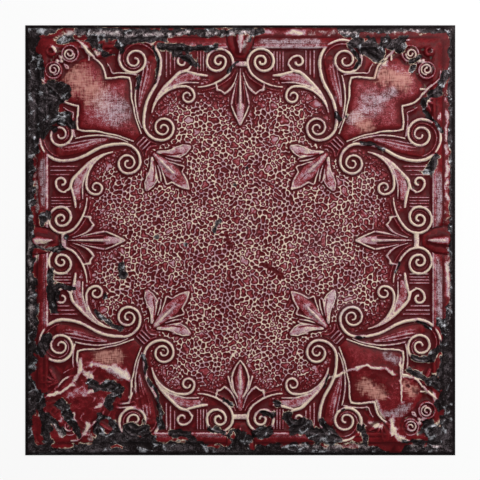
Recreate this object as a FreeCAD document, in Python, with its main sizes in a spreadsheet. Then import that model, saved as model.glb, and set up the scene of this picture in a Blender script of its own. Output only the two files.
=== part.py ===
import FreeCAD, Part
import math
import os
import Sketcher

# Pressed tin ceiling tile: one square sheet of thin steel, stamped in a die.
# It lies face up. The origin is the middle of its back, on the plane that the flat rim lies on.
# +Z points at the viewer and +Y is the top edge of the tile as it is looked at.
# The die's face is built first as a solid: the moulded border, the four shields and the ornament.
# The sheet is that face with the thickness of the metal under it. Every wall slopes, as it must to
# leave the die, so the metal has its thickness everywhere.

os.makedirs("parts", exist_ok=True)
doc = FreeCAD.newDocument("tile")
Z = FreeCAD.Vector(0, 0, 1)
MIDDLE = FreeCAD.Vector(0, 0, 0)

# Sizes in millimetres and degrees. The places of the ornament are drawn on a tile of the drawn
# side, and they grow and shrink with the tile's own side.
SIZES = [
    ("tile_side", 610.0, "side of the square sheet, two feet"),
    ("drawn_side", 610.0, "side that the places of the ornament are drawn on"),
    ("sheet_thick", 0.32, "thickness of the metal, 30 gauge"),
    ("corner_round", 3.0, "rounding of the sheet's four corners in plan"),
    ("rim_wide", 4.5, "width of the flat rim that laps over the next tile"),
    ("rail_run", 1.2, "width of the nail rail's slope"),
    ("rail_high", 1.2, "height of the nail rail over the rim"),
    ("cove_inset", 17.0, "distance from the edge to the foot of the cove"),
    ("cove_run", 2.8, "width of the cove's steep foot"),
    ("cove_high", 3.0, "height of the cove's steep foot"),
    ("flat_inset", 20.6, "distance from the edge to the cove's gentle part"),
    ("flat_run", 6.2, "width of the cove's gentle part"),
    ("flat_high", 1.8, "height of the cove's gentle part"),
    ("bead_inset", 28.0, "distance from the edge to the foot of the inner bead"),
    ("bead_run", 1.4, "width of the bead's outer slope"),
    ("bead_high", 1.4, "height of the inner bead over the cove"),
    ("field_inset", 32.2, "distance from the edge to the inner side of the bead"),
    ("field_run", 4.2, "width of the slope from the bead down to the field"),
    ("field_drop", 4.6, "drop from the bead to the field"),
    ("tongue_high", 4.4, "height of the tongue at the middle of each side over the rim"),
    ("tongue_run", 4.0, "width of the slope round the tongue"),
    ("shield_high", 4.6, "height of the shield's frame over the field"),
    ("shield_run", 4.4, "width of each slope of the shield's frame"),
    ("shield_sink", 2.8, "depth of the shield's panel below its frame"),
    ("pillow_high", 2.6, "rise of the shield's puffed panel"),
    ("pillow_run", 18.0, "width of the puffed panel's slope"),
    ("scroll_half", 3.9, "half the width of a great scroll's ridge at its foot"),
    ("scroll_high", 4.4, "height of a great scroll's ridge over the field"),
    ("curl_half", 3.2, "half the width of a small curl's ridge at its foot"),
    ("curl_high", 3.6, "height of a small curl's ridge over the field"),
    ("leaf_share", 1.0, "height of the leaves, as a share of the heights they are drawn with"),
    ("eye_high", 1.0, "height of the round eye at the shield's shoulder over the bead"),
    ("button_high", 2.0, "height of the corner button over the bead"),
    ("root_deep", 1.6, "depth to which the ornament is rooted in the ground under it"),
    ("pebble_pitch", 31.0, "spacing of the main pebbles of the stamped ground"),
    ("pebble_half", 5.5, "distance from a main pebble's middle to the corners of its foot"),
    ("pebble_high", 1.4, "height of a main pebble over the field"),
    ("pebble_clear", 2.5, "clear ground between a main pebble and the ornament"),
    ("pebble_start", 322.0, "least sum of a pebble's distances from the two nearest edges"),
    ("flat_turn", 37.5, "turn of a curve that one straight flat of a ridge stands for"),
]

sheet = doc.addObject("Spreadsheet::Sheet", "Sizes")
for row, (name, value, note) in enumerate(SIZES, start=1):
    sheet.set("A%d" % row, name)
    sheet.set("B%d" % row, str(value))
    sheet.set("C%d" % row, note)
    sheet.setAlias("B%d" % row, name)
doc.recompute()


def size(name):
    return float(getattr(sheet, name))


SCALE = size("tile_side") / size("drawn_side")
DEEP = size("root_deep")
# Heights of the levels over the plane of the rim's back, as numbers and as rules for the sheet.
RIM_RULE = "Sizes.sheet_thick"
RAIL_RULE = RIM_RULE + " + Sizes.rail_high"
COVE_RULE = RAIL_RULE + " + Sizes.cove_high"
FLAT_RULE = COVE_RULE + " + Sizes.flat_high"
BEAD_RULE = FLAT_RULE + " + Sizes.bead_high"
FIELD_RULE = BEAD_RULE + " - Sizes.field_drop"
RIM = size("sheet_thick")
BEAD = RIM + size("rail_high") + size("cove_high") + size("flat_high") + size("bead_high")
FIELD = BEAD - size("field_drop")
TONGUE = RIM + size("tongue_high")


def at(along, inward, high=0.0):
    """The place of a point drawn by its distances from the two edges at the lower left corner."""
    half = size("drawn_side") / 2
    return FreeCAD.Vector((along - half) * SCALE, (inward - half) * SCALE, high)


# The border. The plate is a sketch with rounded corners; each step of the moulding is a wedge that
# stands on the one before it, and the field is cut down inside the bead by a last wedge.


def plate():
    """The flat plate of the rim."""
    body = doc.addObject("PartDesign::Body", "Plate")
    sketch = body.newObject("Sketcher::SketchObject", "PlateOutline")
    flat = [plane for plane in body.Origin.OriginFeatures if plane.Role == "XY_Plane"][0]
    sketch.AttachmentSupport = [(flat, "")]
    sketch.MapMode = "FlatFace"
    half = size("tile_side") / 2
    arc = size("corner_round")
    corners = []
    for sx, sy, start in ((-1, -1, 180), (1, -1, 270), (1, 1, 0), (-1, 1, 90)):
        begin = math.radians(start)
        middle = FreeCAD.Vector(sx * (half - arc), sy * (half - arc), 0)
        corners.append(Part.ArcOfCircle(Part.Circle(middle, Z, arc), begin, begin + math.pi / 2))
    for index, corner in enumerate(corners):
        following = corners[(index + 1) % 4]
        sketch.addGeometry(corner, False)
        sketch.addGeometry(Part.LineSegment(corner.EndPoint, following.StartPoint), False)
    for index in range(8):
        following = (index + 1) % 8
        sketch.addConstraint(Sketcher.Constraint("Coincident", index, 2, following, 1))
    pad = body.newObject("PartDesign::Pad", "PlatePad")
    pad.Profile = sketch
    pad.setExpression("Length", RIM_RULE)
    sketch.Visibility = False
    return body


def step(name, low_inset, high_inset, low, high):
    """A square step with sloping sides, from one level up to another."""
    wedge = doc.addObject("Part::Wedge", name)
    for way in ("X", "Z"):
        wedge.setExpression(way + "min", "-Sizes.tile_side / 2 + " + low_inset)
        wedge.setExpression(way + "max", "Sizes.tile_side / 2 - (" + low_inset + ")")
        wedge.setExpression(way + "2min", "-Sizes.tile_side / 2 + " + high_inset)
        wedge.setExpression(way + "2max", "Sizes.tile_side / 2 - (" + high_inset + ")")
    wedge.setExpression("Ymin", low)
    wedge.setExpression("Ymax", high)
    wedge.Placement = FreeCAD.Placement(MIDDLE, FreeCAD.Rotation(FreeCAD.Vector(1, 0, 0), 90))
    return wedge


def border():
    """The moulded border: nail rail, cove, bead, and the field inside them."""
    steps = [plate()]
    for name, inset, run, low, high in (
            ("NailRail", "rim_wide", "rail_run", RIM_RULE, RAIL_RULE),
            ("CoveFoot", "cove_inset", "cove_run", RAIL_RULE, COVE_RULE),
            ("CoveFlat", "flat_inset", "flat_run", COVE_RULE, FLAT_RULE),
            ("Bead", "bead_inset", "bead_run", FLAT_RULE, BEAD_RULE)):
        inset = "Sizes." + inset
        steps.append(step(name, inset, inset + " + Sizes." + run, low, high))
    raised = doc.addObject("Part::MultiFuse", "RaisedBorder")
    raised.Shapes = steps
    inset = "Sizes.field_inset"
    cut = step("FieldCut", inset + " + Sizes.field_run", inset, FIELD_RULE, BEAD_RULE)
    form = doc.addObject("Part::Cut", "Border")
    form.Base = raised
    form.Tool = cut
    doc.recompute()
    return form.Shape


# The ornament is made of facetted solids: rings of points at their own levels, one inside the
# other, joined by triangles.


def facet(*points):
    return Part.Face(Part.makePolygon(list(points) + [points[0]]))


def closed(faces):
    """One solid from its faces, with facets that lie in one plane joined."""
    shell = Part.makeShell(faces)
    shell.sewShape()
    solid = Part.makeSolid(shell)
    if solid.Volume < 0:
        solid.reverse()
    return solid.removeSplitter()


def stacked(rings):
    """A solid from its lowest ring of points to its last, closed by a flat at each end."""
    faces = [facet(*rings[0]), facet(*rings[-1])]
    for low, high in zip(rings, rings[1:]):
        for index in range(len(low)):
            turn = (index + 1) % len(low)
            faces.append(facet(low[index], low[turn], high[index]))
            faces.append(facet(low[turn], high[turn], high[index]))
    return closed(faces)


def drawn_in(ring, middle, distance, high):
    """A ring moved straight towards its middle by a distance, at a new level."""
    moved = []
    for point in ring:
        way = FreeCAD.Vector(middle.x - point.x, middle.y - point.y, 0)
        near = point + way * (distance / way.Length)
        moved.append(FreeCAD.Vector(near.x, near.y, high))
    return moved


# Half of the shield's outline, from the side of the tile's corner round to the shield's point.
SHIELD_HALF = [(58, 58), (70, 48), (84, 44), (99, 46), (112, 57), (117, 73), (146, 72),
               (153, 82), (155, 105), (160, 132), (165, 150)]


def shield():
    """The framed shield of a corner: a raised frame, a sunk panel and its puffed middle."""
    outline = [at(*p) for p in SHIELD_HALF]
    outline += [at(p[1], p[0]) for p in reversed(SHIELD_HALF) if p[0] != p[1]]
    middle = at(118, 118)
    run = size("shield_run")
    top = FIELD + size("shield_high")
    panel = top - size("shield_sink")
    spread = run * DEEP / size("shield_high")
    rings = [drawn_in(outline, middle, -spread, FIELD - DEEP),
             drawn_in(outline, middle, run, top),
             drawn_in(outline, middle, run * 1.9, panel),
             drawn_in(outline, middle, run * 1.9 + size("pillow_run"), panel + size("pillow_high"))]
    return stacked(rings)


def tongue():
    """The tongue that the border sends in at the middle of a side."""
    corners = [(280, 9), (330, 9), (330, 28), (314, 51), (296, 51), (280, 28)]
    outline = [at(*p) for p in corners]
    middle = at(305, 28)
    run = size("tongue_run")
    spread = run * RIM / size("tongue_high")
    rings = [drawn_in(outline, middle, -spread, 0.0), drawn_in(outline, middle, run, TONGUE)]
    return stacked(rings)


def boss(along, inward, foot, top, over_bead):
    """A round boss that stands over the border's bead, as a frustum of eight sides."""
    middle = at(along, inward)
    high = BEAD - FIELD + over_bead
    grow = (foot - top) * DEEP / high
    rings = []
    for radius, level in ((foot + grow, FIELD - DEEP), (top, FIELD + high)):
        ring = []
        for index in range(8):
            turn = math.radians(45 * index + 5)
            arm = FreeCAD.Vector(math.cos(turn), math.sin(turn), 0) * (radius * SCALE)
            ring.append(middle + arm + Z * level)
        rings.append(ring)
    return stacked(rings)


# A leaf or a scroll is a ridge along a line of places: (place, half width, height), with a tip of
# no height at each end. Its slopes run on into the ground to the depth of its roots.


def ridge(line):
    places = [item[0] for item in line]
    crests = []
    rights = []
    lefts = []
    for index in range(1, len(line) - 1):
        into = (places[index] - places[index - 1]).normalize()
        out = (places[index + 1] - places[index]).normalize()
        run = (into + out).normalize()
        mitre = 1 / max(0.5, run.dot(out))
        half, high = line[index][1] * SCALE, line[index][2]
        reach = half * mitre * (high + DEEP) / high
        across = FreeCAD.Vector(run.y, -run.x, 0) * reach
        crests.append(places[index] + Z * high)
        rights.append(places[index] + across - Z * DEEP)
        lefts.append(places[index] - across - Z * DEEP)
    tips = []
    for tip, near in ((0, 1), (-1, -2)):
        high = line[near][2]
        reach = (places[tip] - places[near]) * ((high + DEEP) / high)
        tips.append(places[near] + reach - Z * DEEP)
    faces = [facet(tips[0], rights[0], crests[0]), facet(tips[0], crests[0], lefts[0]),
             facet(tips[1], crests[-1], rights[-1]), facet(tips[1], lefts[-1], crests[-1])]
    for index in range(len(crests) - 1):
        one, two = crests[index], crests[index + 1]
        faces.append(facet(rights[index], rights[index + 1], one))
        faces.append(facet(one, rights[index + 1], two))
        faces.append(facet(lefts[index], one, lefts[index + 1]))
        faces.append(facet(one, two, lefts[index + 1]))
        faces.append(facet(rights[index], rights[index + 1], lefts[index]))
        faces.append(facet(rights[index + 1], lefts[index + 1], lefts[index]))
    faces.append(facet(tips[0], rights[0], lefts[0]))
    faces.append(facet(tips[1], rights[-1], lefts[-1]))
    return closed(faces)


def leaf(stations, ground=None):
    """A leaf through stations of (along, inward, half width, height), its tips without the last two."""
    level = FIELD if ground is None else ground
    share = size("leaf_share")
    line = []
    for station in stations:
        half, high = station[2:] if len(station) == 4 else (0.0, 0.0)
        line.append((at(station[0], station[1], level), half, high * share))
    return ridge(line)


def swept(place, heading, arcs):
    """The places along arcs of (radius, turn), each arc tangent to the one before it."""
    places = [place]
    for radius, turn in arcs:
        side = 1 if turn > 0 else -1
        flats = max(1, math.ceil(abs(turn) / size("flat_turn")))
        for _ in range(flats):
            bend = turn / flats
            chord = 2 * radius * SCALE * math.sin(math.radians(abs(bend) / 2))
            way = math.radians(heading + bend / 2)
            place = place + FreeCAD.Vector(math.cos(way), math.sin(way), 0) * chord
            places.append(place)
            heading += bend
    return places, heading


def scroll(start, heading, arcs, half, high, back=()):
    """A ridge from a start along arcs, and backwards along other arcs, pointed at both ends."""
    start = at(start[0], start[1], FIELD)
    ahead, last = swept(start, heading, arcs)
    behind, first = swept(start, heading + 180, back)
    places = behind[:0:-1] + ahead
    for end, facing in ((0, first), (-1, last)):
        way = math.radians(facing)
        tip = places[end] + FreeCAD.Vector(math.cos(way), math.sin(way), 0) * (half * 1.2 * SCALE)
        places = [tip] + places if end == 0 else places + [tip]
    return ridge([(place, half, high) for place in places])


def volute(radii, hand=-1):
    """Quarter turns of shrinking radius, wound to one hand."""
    return [(radius, 90 * hand) for radius in radii]


def half_corner():
    """The ornament of one half corner, drawn below the corner's diagonal."""
    great = (size("scroll_half"), size("scroll_high"))
    small = (size("curl_half"), size("curl_high"))
    inner = [(71, 33), (77, -27), (115, -6)] + volute([25.5, 17.4, 14, 12.1])
    return [
        scroll((191.7, 54), -90, volute([32, 26, 19.6, 17.2]), *great, back=inner),
        scroll((226, 86.5), 0, volute([14, 8.4, 7.5], 1), *small, back=[(47, -74)]),
        scroll((295, 53.5), -90, volute([19.5, 18, 13.8, 13.5]), *great,
               back=[(25, 50), (66.5, 36)]),
        scroll((237, 57), -90, volute([13, 7]), *small),
        boss(64, 42, 11.0, 6.5, size("eye_high")),
        leaf([(190, 99), (204, 86.5, 3.2, 3.6), (230, 65.5, 3.6, 4.0), (243, 54)]),
        leaf([(216, 88), (228, 80.5, 3.4, 3.0), (246, 77.5, 4.4, 3.8), (260, 73)]),
        leaf([(183, 181.5), (212, 180, 3.2, 3.8), (227, 176.5, 6.2, 4.6), (236, 173)]),
        leaf([(196, 185), (215, 190, 2.3, 2.6), (223, 191)]),
        leaf([(203, 194), (220, 203.5, 2.2, 2.4), (229, 211)]),
    ]


def whole_corner():
    """What crosses the corner's diagonal: shield, button, palmette's middle and clasp."""
    return [
        shield(),
        boss(37, 37, 8.5, 4.0, size("button_high")),
        leaf([(182, 182), (193, 193, 2.6, 3.6), (204, 204, 5.2, 4.8), (215, 215, 10.5, 4.0),
              (223, 223, 7.0, 3.2), (231, 231)]),
        leaf([(176, 162), (170, 168, 4.0, 4.4), (168, 170, 4.0, 4.4), (162, 176)]),
    ]


def half_side():
    """The leaves of one half side: the lily's side petal with its blob, and the drop under it."""
    return [
        leaf([(300, 68), (290, 91, 2.4, 3.2), (284.5, 97, 2.6, 3.0), (281, 100)]),
        leaf([(270, 89), (272.5, 95, 3.0, 2.8), (279, 99)]),
        leaf([(296, 88), (292, 107, 2.4, 2.6), (290.5, 114)]),
    ]


def whole_side():
    """What crosses the middle of a side: tongue, keystone, bar and the lily's middle petal."""
    return [
        tongue(),
        leaf([(305, 12), (305, 18, 6.5, 2.6), (305, 28, 4.6, 3.0), (305, 40)], TONGUE),
        leaf([(294, 55.5), (300, 55.5, 5.2, 4.0), (310, 55.5, 5.2, 4.0), (316, 55.5)]),
        leaf([(305, 63), (305, 100, 3.6, 4.4), (305, 125, 7.2, 5.0), (305, 140)]),
    ]


def pebble(along, inward, turn):
    """One of the stamped ground's main pebbles, as a low pyramid of three sides."""
    high = size("pebble_high")
    middle = at(along, inward, FIELD)
    reach = size("pebble_half") * SCALE * (high + DEEP) / high
    foot = []
    for index in range(3):
        way = math.radians(turn + 120 * index)
        foot.append(middle + FreeCAD.Vector(math.cos(way), math.sin(way), 0) * reach - Z * DEEP)
    faces = [facet(*foot)]
    for index in range(3):
        faces.append(facet(foot[index], foot[(index + 1) % 3], middle + Z * high))
    return closed(faces)


def stamped_ground(ornament):
    """The main pebbles of a quarter of the field, in staggered rows clear of the ornament."""
    half = size("drawn_side") / 2
    pitch = size("pebble_pitch")
    clear = size("pebble_clear")
    found = []
    for row in range(int(half / pitch)):
        for column in range(int(half / pitch)):
            along = half - pitch * (column + 0.25 + 0.5 * (row % 2))
            inward = half - pitch * (row + 0.5)
            if along + inward < size("pebble_start"):
                continue
            stone = pebble(along, inward, 25 * row + 40 * column)
            room = stone.BoundBox
            room.enlarge(clear)
            near = [piece for piece in ornament if room.intersect(piece.BoundBox)]
            if all(stone.distToShape(piece)[0] > clear for piece in near):
                found.append(stone)
    return found


def mirrored(shapes, normal):
    return shapes + [shape.mirror(MIDDLE, normal) for shape in shapes]


def turned(shapes):
    """The shapes at all four corners or sides."""
    every = []
    for turn in range(4):
        for shape in shapes:
            copy = shape.copy()
            copy.rotate(MIDDLE, Z, 90 * turn)
            every.append(copy)
    return every


def pressed(form):
    """The sheet: the form's face, the same face a thickness lower, and the cut edge around them."""
    face = []
    edge = []
    for part in form.Faces:
        box = part.BoundBox
        if box.ZMax < RIM / 4:
            continue
        if box.ZMin < RIM / 4 and box.ZMax < RIM * 1.01:
            edge.append(part)
        else:
            face.append(part)
    back = Part.makeShell(face).translated(Z * -RIM)
    return closed(face + edge + back.Faces)


ground = border()
corner_pieces = mirrored(half_corner(), FreeCAD.Vector(1, -1, 0)) + whole_corner()
side_pieces = mirrored(half_side(), FreeCAD.Vector(1, 0, 0)) + whole_side()
pieces = turned(corner_pieces + side_pieces)
pieces += turned(stamped_ground(pieces))
form = doc.addObject("Part::Feature", "Form")
form.Shape = ground.fuse(pieces)
tile = doc.addObject("Part::Feature", "PressedSheet")
tile.Label = "pressed_sheet"
tile.Shape = pressed(form.Shape)
tile.Placement = FreeCAD.Placement()
doc.recompute()

for item in doc.Objects:
    if "Invalid" in item.State or "Error" in item.State:
        raise RuntimeError(item.Name + " did not build")
if form.Shape.isNull() or len(form.Shape.Solids) != 1:
    raise RuntimeError("the ornament and the border are not one solid")
if tile.Shape.isNull() or not tile.Shape.isValid():
    raise RuntimeError("the sheet is not a sound solid")
tile.Shape.exportStep("parts/pressed_sheet.step")
print("pressed_sheet", len(tile.Shape.Faces), "faces", round(tile.Shape.Volume), "mm3",
      tile.Shape.BoundBox)
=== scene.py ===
# %% [markdown]
# A pressed tin ceiling tile, seen square on. The sheet was stamped in a die, painted cream and
# later dark red. Age then rubbed the red off the raised work and chipped both coats off the border.
# The scene starts from the measured model, which gives the place and the size of everything. The
# shape comes first, then the maps of its wear, the mesh, the paint, and the floor and the light.

# %% Load the frame
import math

import bmesh
import bpy
import numpy as np
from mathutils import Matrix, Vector


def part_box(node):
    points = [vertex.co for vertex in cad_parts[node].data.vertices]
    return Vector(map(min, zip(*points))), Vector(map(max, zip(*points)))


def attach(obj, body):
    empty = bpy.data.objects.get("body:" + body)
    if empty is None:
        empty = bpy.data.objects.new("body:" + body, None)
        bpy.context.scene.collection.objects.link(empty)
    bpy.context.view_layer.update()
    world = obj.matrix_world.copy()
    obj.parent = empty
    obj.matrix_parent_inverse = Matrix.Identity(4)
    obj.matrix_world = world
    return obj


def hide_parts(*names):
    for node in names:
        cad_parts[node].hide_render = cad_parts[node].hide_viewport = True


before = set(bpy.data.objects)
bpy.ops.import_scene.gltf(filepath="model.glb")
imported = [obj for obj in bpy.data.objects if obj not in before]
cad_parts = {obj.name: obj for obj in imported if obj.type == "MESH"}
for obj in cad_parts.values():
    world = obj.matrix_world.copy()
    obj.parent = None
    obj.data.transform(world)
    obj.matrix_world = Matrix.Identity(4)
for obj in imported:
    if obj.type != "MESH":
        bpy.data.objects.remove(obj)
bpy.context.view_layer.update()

MM = 0.001

# %% [markdown]
# A die is cut in steps: the flat levels of the border first, then the ornament's ridges, then the
# pebbled ground. The ridges could be swept as tubes and joined, but their meeting places would
# show. A square grid of heights, in millimetres, lets them melt into one sheet as the metal does.
# Only one corner is drawn, because the four corners and their two halves are alike. A place in it
# is given by its distances from the two edges that meet at the corner.

# %% Grid of one corner
LOW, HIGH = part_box("pressed_sheet")
SIDE = (HIGH[0] - LOW[0]) / MM
TOP = HIGH[2] / MM
CELLS = 400
CELL = SIDE / 2 / CELLS
line = np.linspace(0.0, SIDE / 2, CELLS + 1)
ALONG, INWARD = np.meshgrid(line, line, indexing="ij")
INSET = np.minimum(ALONG, INWARD)
print("side", round(SIDE, 1), "mm, one cell", round(CELL, 3), "mm")


def ramp(value, start, end):
    """0 before start, 1 after end, and a soft step between them."""
    t = np.clip((value - start) / (end - start), 0.0, 1.0)
    return t * t * (3 - 2 * t)


# %% [markdown]
# The border is a moulding that runs round the tile: a flat rim, a nail rail, a cove and a bead.
# A profile could be swept along the four sides and mitred at the corners. Here each place looks up
# its height by its distance from the nearest edge, which gives the mitres without any joining. So
# the profile is a short list of distances and heights, from the model's own levels.

# %% Border moulding
SHEET = 0.32
RAIL = 1.52
COVE = 4.52
FLAT = 6.32
BEAD = 7.72
FIELD = 3.12
PROFILE = [(0.0, SHEET), (4.4, SHEET), (5.6, RAIL), (15.2, RAIL), (16.2, RAIL - 0.5), (17.0, RAIL),
           (19.4, COVE), (22.0, COVE + 1.3), (25.0, FLAT), (27.6, FLAT - 0.3), (28.6, FLAT + 0.4),
           (30.2, BEAD), (31.4, BEAD), (32.6, BEAD - 0.9), (34.2, FIELD + 1.4), (35.8, FIELD)]
moulding = np.interp(INSET, [p[0] for p in PROFILE], [p[1] for p in PROFILE])
print("moulding from", moulding.min(), "to", moulding.max(), "mm")

# %% [markdown]
# Every scroll, stem and leaf of the stamping is a ridge with a soft crest. As a curve with a bevel
# it would be a tube that lies on the sheet, with a seam at either side. As a stroke it is a line
# with a half width and a height, and raises the grid where it is higher than what is there.
# Its tone says how far wear has rubbed the crest: 1 is undercoat, 0.5 a thin lavender bloom.

# %% Strokes
COVER = 2.5
RUB_SHAPE = 2.3


class Corner:
    """The layers of one corner: height over the ground, wear, and where the ornament lies."""

    def __init__(self):
        shape = ALONG.shape
        self.height = np.zeros(shape)
        self.wear = np.zeros(shape)
        self.cover = np.zeros(shape)

    def window(self, points, margin):
        """The part of the grid that lies round some points."""
        low = np.clip(((points.min(0) - margin) / CELL).astype(int), 0, CELLS)
        high = np.clip(((points.max(0) + margin) / CELL).astype(int) + 2, 0, CELLS + 1)
        return slice(low[0], high[0]), slice(low[1], high[1])

    def near_line(self, points, margin):
        """For each place near a line: its distance from the line, and its share of the way along."""
        points = np.array(points, float)
        part = self.window(points, margin)
        u, v = ALONG[part], INWARD[part]
        start, run = points[:-1], np.diff(points, axis=0)
        size = np.maximum(np.hypot(run[:, 0], run[:, 1]), 1e-6)
        path = np.concatenate([[0.0], np.cumsum(size)])
        best = np.full(u.shape, 1e9)
        share = np.zeros(u.shape)
        for k in range(len(run)):
            t = ((u - start[k, 0]) * run[k, 0] + (v - start[k, 1]) * run[k, 1]) / size[k] ** 2
            t = np.clip(t, 0.0, 1.0)
            away = np.hypot(u - start[k, 0] - t * run[k, 0], v - start[k, 1] - t * run[k, 1])
            near = away < best
            best = np.where(near, away, best)
            share = np.where(near, (path[k] + t * size[k]) / path[-1], share)
        return part, best, share

    def stroke(self, points, half, high, tone=1.0, lift=0.0, flat=0.0):
        """Press a line of points: half width and height as one number, or as values along it."""
        widths = np.atleast_1d(half)
        heights = np.atleast_1d(high)
        part, best, share = self.near_line(points, widths.max() + COVER)
        width = np.interp(share, np.linspace(0, 1, len(widths)), widths)
        tall = np.interp(share, np.linspace(0, 1, len(heights)), heights)
        reach = np.clip((best / width - flat) / (1 - flat), 0.0, 1.0)
        crest = 0.5 + 0.5 * np.cos(math.pi * reach)
        rise = np.where(best < width, tall * crest + lift, 0.0)
        self.height[part] = np.maximum(self.height[part], rise)
        rub = tone * (1 - reach ** RUB_SHAPE)
        self.wear[part] = np.maximum(self.wear[part], rub)
        self.cover[part] = np.maximum(self.cover[part], ramp(width + COVER - best, 0.0, 1.5))

    def mirrored(self):
        """The same strokes on both sides of the corner's diagonal."""
        for layer in (self.height, self.wear, self.cover):
            np.maximum(layer, layer.T.copy(), out=layer)

    def covered(self):
        """The share of the corner that lies under the ornament."""
        return round(float((self.cover > 0).mean()), 2)


corner = Corner()
print("one corner has", corner.height.size, "places")

# %% [markdown]
# A scroll can be drawn with a compass, as arcs that run smoothly into each other. A curve object
# could follow it, with handles set by eye. A start, a heading and a list of radii and turns say the
# same in a few numbers, and a volute is only quarter turns of a shrinking radius.


# %% Lines of arcs
def arcs(start, heading, turns, step=7.0):
    """Points along arcs of (radius, turn in degrees), each arc tangent to the one before it."""
    x, y = start
    points = [(x, y)]
    for radius, turn in turns:
        count = max(1, math.ceil(abs(turn) / step))
        for _ in range(count):
            bend = turn / count
            chord = 2 * radius * math.sin(math.radians(abs(bend) / 2))
            way = math.radians(heading + bend / 2)
            x += chord * math.cos(way)
            y += chord * math.sin(way)
            heading += bend
            points.append((x, y))
    return points


def volute(radii, hand=-1):
    """Quarter turns of shrinking radius, wound to one hand."""
    return [(radius, 90 * hand) for radius in radii]


def both_ways(start, heading, ahead, back):
    """One line through a start: the arcs ahead of it, and the arcs behind it."""
    return arcs(start, heading + 180, back)[:0:-1] + arcs(start, heading, ahead)


print("points in a full turn", len(arcs((0, 0), 0, [(10, 360)])) - 1)

# %% [markdown]
# Stems and leaves are not parts of circles. A smooth line runs through a few points that were read
# off the photograph, as a bent ruler would, and needs no handles. A second line beside the first
# makes the rim of a leaf, or the finer line that goes along with a scroll.


# %% Smooth lines
def smooth(points, parts=6):
    """A smooth line through a few points."""
    p = np.array(points, float)
    p = np.vstack([2 * p[0] - p[1], p, 2 * p[-1] - p[-2]])
    out = []
    for a, b, c, d in zip(p, p[1:], p[2:], p[3:]):
        for t in np.linspace(0, 1, parts, endpoint=False):
            out.append(0.5 * (2 * b + (c - a) * t + (2 * a - 5 * b + 4 * c - d) * t ** 2
                              + (3 * b - a - 3 * c + d) * t ** 3))
    out.append(p[-2])
    return out


def beside(points, away):
    """The line that runs at a distance to the right of another, or to its left below zero."""
    points = np.array(points, float)
    run = np.gradient(points, axis=0)
    run /= np.maximum(np.hypot(run[:, 0], run[:, 1]), 1e-6)[:, None]
    return points + np.reshape(away, (-1, 1)) * np.stack([run[:, 1], -run[:, 0]], axis=1)


print("a line through 3 points has", len(smooth([(0, 0), (1, 0), (2, 1)])), "points")

# %% [markdown]
# The shield in each corner is a panel puffed like a cushion, and a tongue lies on the border at the
# middle of each side. A mesh could be inflated. A height is simpler: it grows with the distance
# from the outline, up to a limit. So each outline is a polygon, and each place is asked how far
# inside it lies. The edge of the pebbled field is asked the same.

# %% Shield, tongue and the edge of the pebbled field
SHIELD = [(60, 60), (72, 50), (86, 46), (99, 48), (108, 55), (113, 66), (115, 76), (131, 74.5),
          (147, 75), (150.5, 85), (151, 103), (155, 122), (160, 140), (166, 156)]
TONGUE = [(283, 4), (286, 30), (297, 49), (313, 49), (324, 30), (327, 4)]
FIELD_EDGE = [(305, 118), (296, 99), (286, 97), (272, 93), (259, 73), (240, 80), (216, 87),
              (200, 95), (187, 108), (178, 131), (173, 150), (166, 166)]


def inside(outline):
    """How far each place lies inside a closed outline, below zero outside it."""
    ring = np.array(outline, float)
    best = np.full(ALONG.shape, 1e9)
    odd = np.zeros(ALONG.shape, bool)
    for (x0, y0), (x1, y1) in zip(ring, np.roll(ring, -1, axis=0)):
        size = (x1 - x0) ** 2 + (y1 - y0) ** 2
        t = np.clip(((ALONG - x0) * (x1 - x0) + (INWARD - y0) * (y1 - y0)) / size, 0.0, 1.0)
        away = np.hypot(ALONG - x0 - t * (x1 - x0), INWARD - y0 - t * (y1 - y0))
        best = np.minimum(best, away)
        crosses = (y0 > INWARD) != (y1 > INWARD)
        slope = (x1 - x0) / (y1 - y0 if y1 != y0 else 1e-9)
        odd ^= crosses & (ALONG < x0 + (INWARD - y0) * slope)
    return np.where(odd, best, -best)


def across(half_outline):
    """An outline from its half on one side of the diagonal."""
    return half_outline + [(v, u) for u, v in reversed(half_outline) if u != v]


shield_in = inside(across(SHIELD))
tongue_in = np.maximum(inside(TONGUE), inside(TONGUE).T)
FAR = 500
field_in = inside([(FAR, FAR), (FAR, 118)] + across(FIELD_EDGE) + [(118, FAR)])
print("shield panel reaches", round(float(shield_in.max()), 1), "mm in from its outline")

# %% [markdown]
# The scrollwork. The great scroll runs from the outer volute down the shield's flank and into the
# inner volute. Its arcs are the ones the model was built with; here they wind on to the eye.
# A traced picture could give them too, with a wobble that a die does not have.

# %% Scrolls
GREAT_START = (192.6, 54)
SIDE_START = (294.6, 53.5)
inner_back = [(71, 33), (77, -27), (115, -6)] + volute([25, 17, 13.6, 12, 10.3, 7.6, 6, 4.4])
outer_turns = volute([32.4, 26.4, 19.8, 17.2, 13.4, 12, 9.2, 6.4, 4.6])
side_turns = volute([19.3, 17.6, 13.6, 13.2, 8.2, 7.2, 5, 3.4])
GREAT = both_ways(GREAT_START, -90, outer_turns, inner_back)
BRANCH = both_ways((226, 87), 0, volute([14, 8.4, 7.5, 5.8, 4.2], 1), [(47, -78)])
SIDE_SCROLL = both_ways(SIDE_START, -90, side_turns, [(25, 50), (66.5, 38)])
HOOK = arcs((237, 57), -90, volute([13, 7.4, 6, 4]))
outer_part = arcs(GREAT_START, -90, outer_turns[:4])
inner_part = arcs(GREAT_START, 90, inner_back[:4])
corner.stroke(GREAT, [2.4, 3.2, 3.8, 4.2, 4.2, 3.8, 3.0, 2.3], [3.6, 4.4, 4.4, 4.4, 4.4, 4.0, 3.4])
corner.stroke(BRANCH, [1.8, 2.6, 3.1, 3.4, 3.0, 2.4], [3.0, 3.8, 3.8, 3.4])
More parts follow.
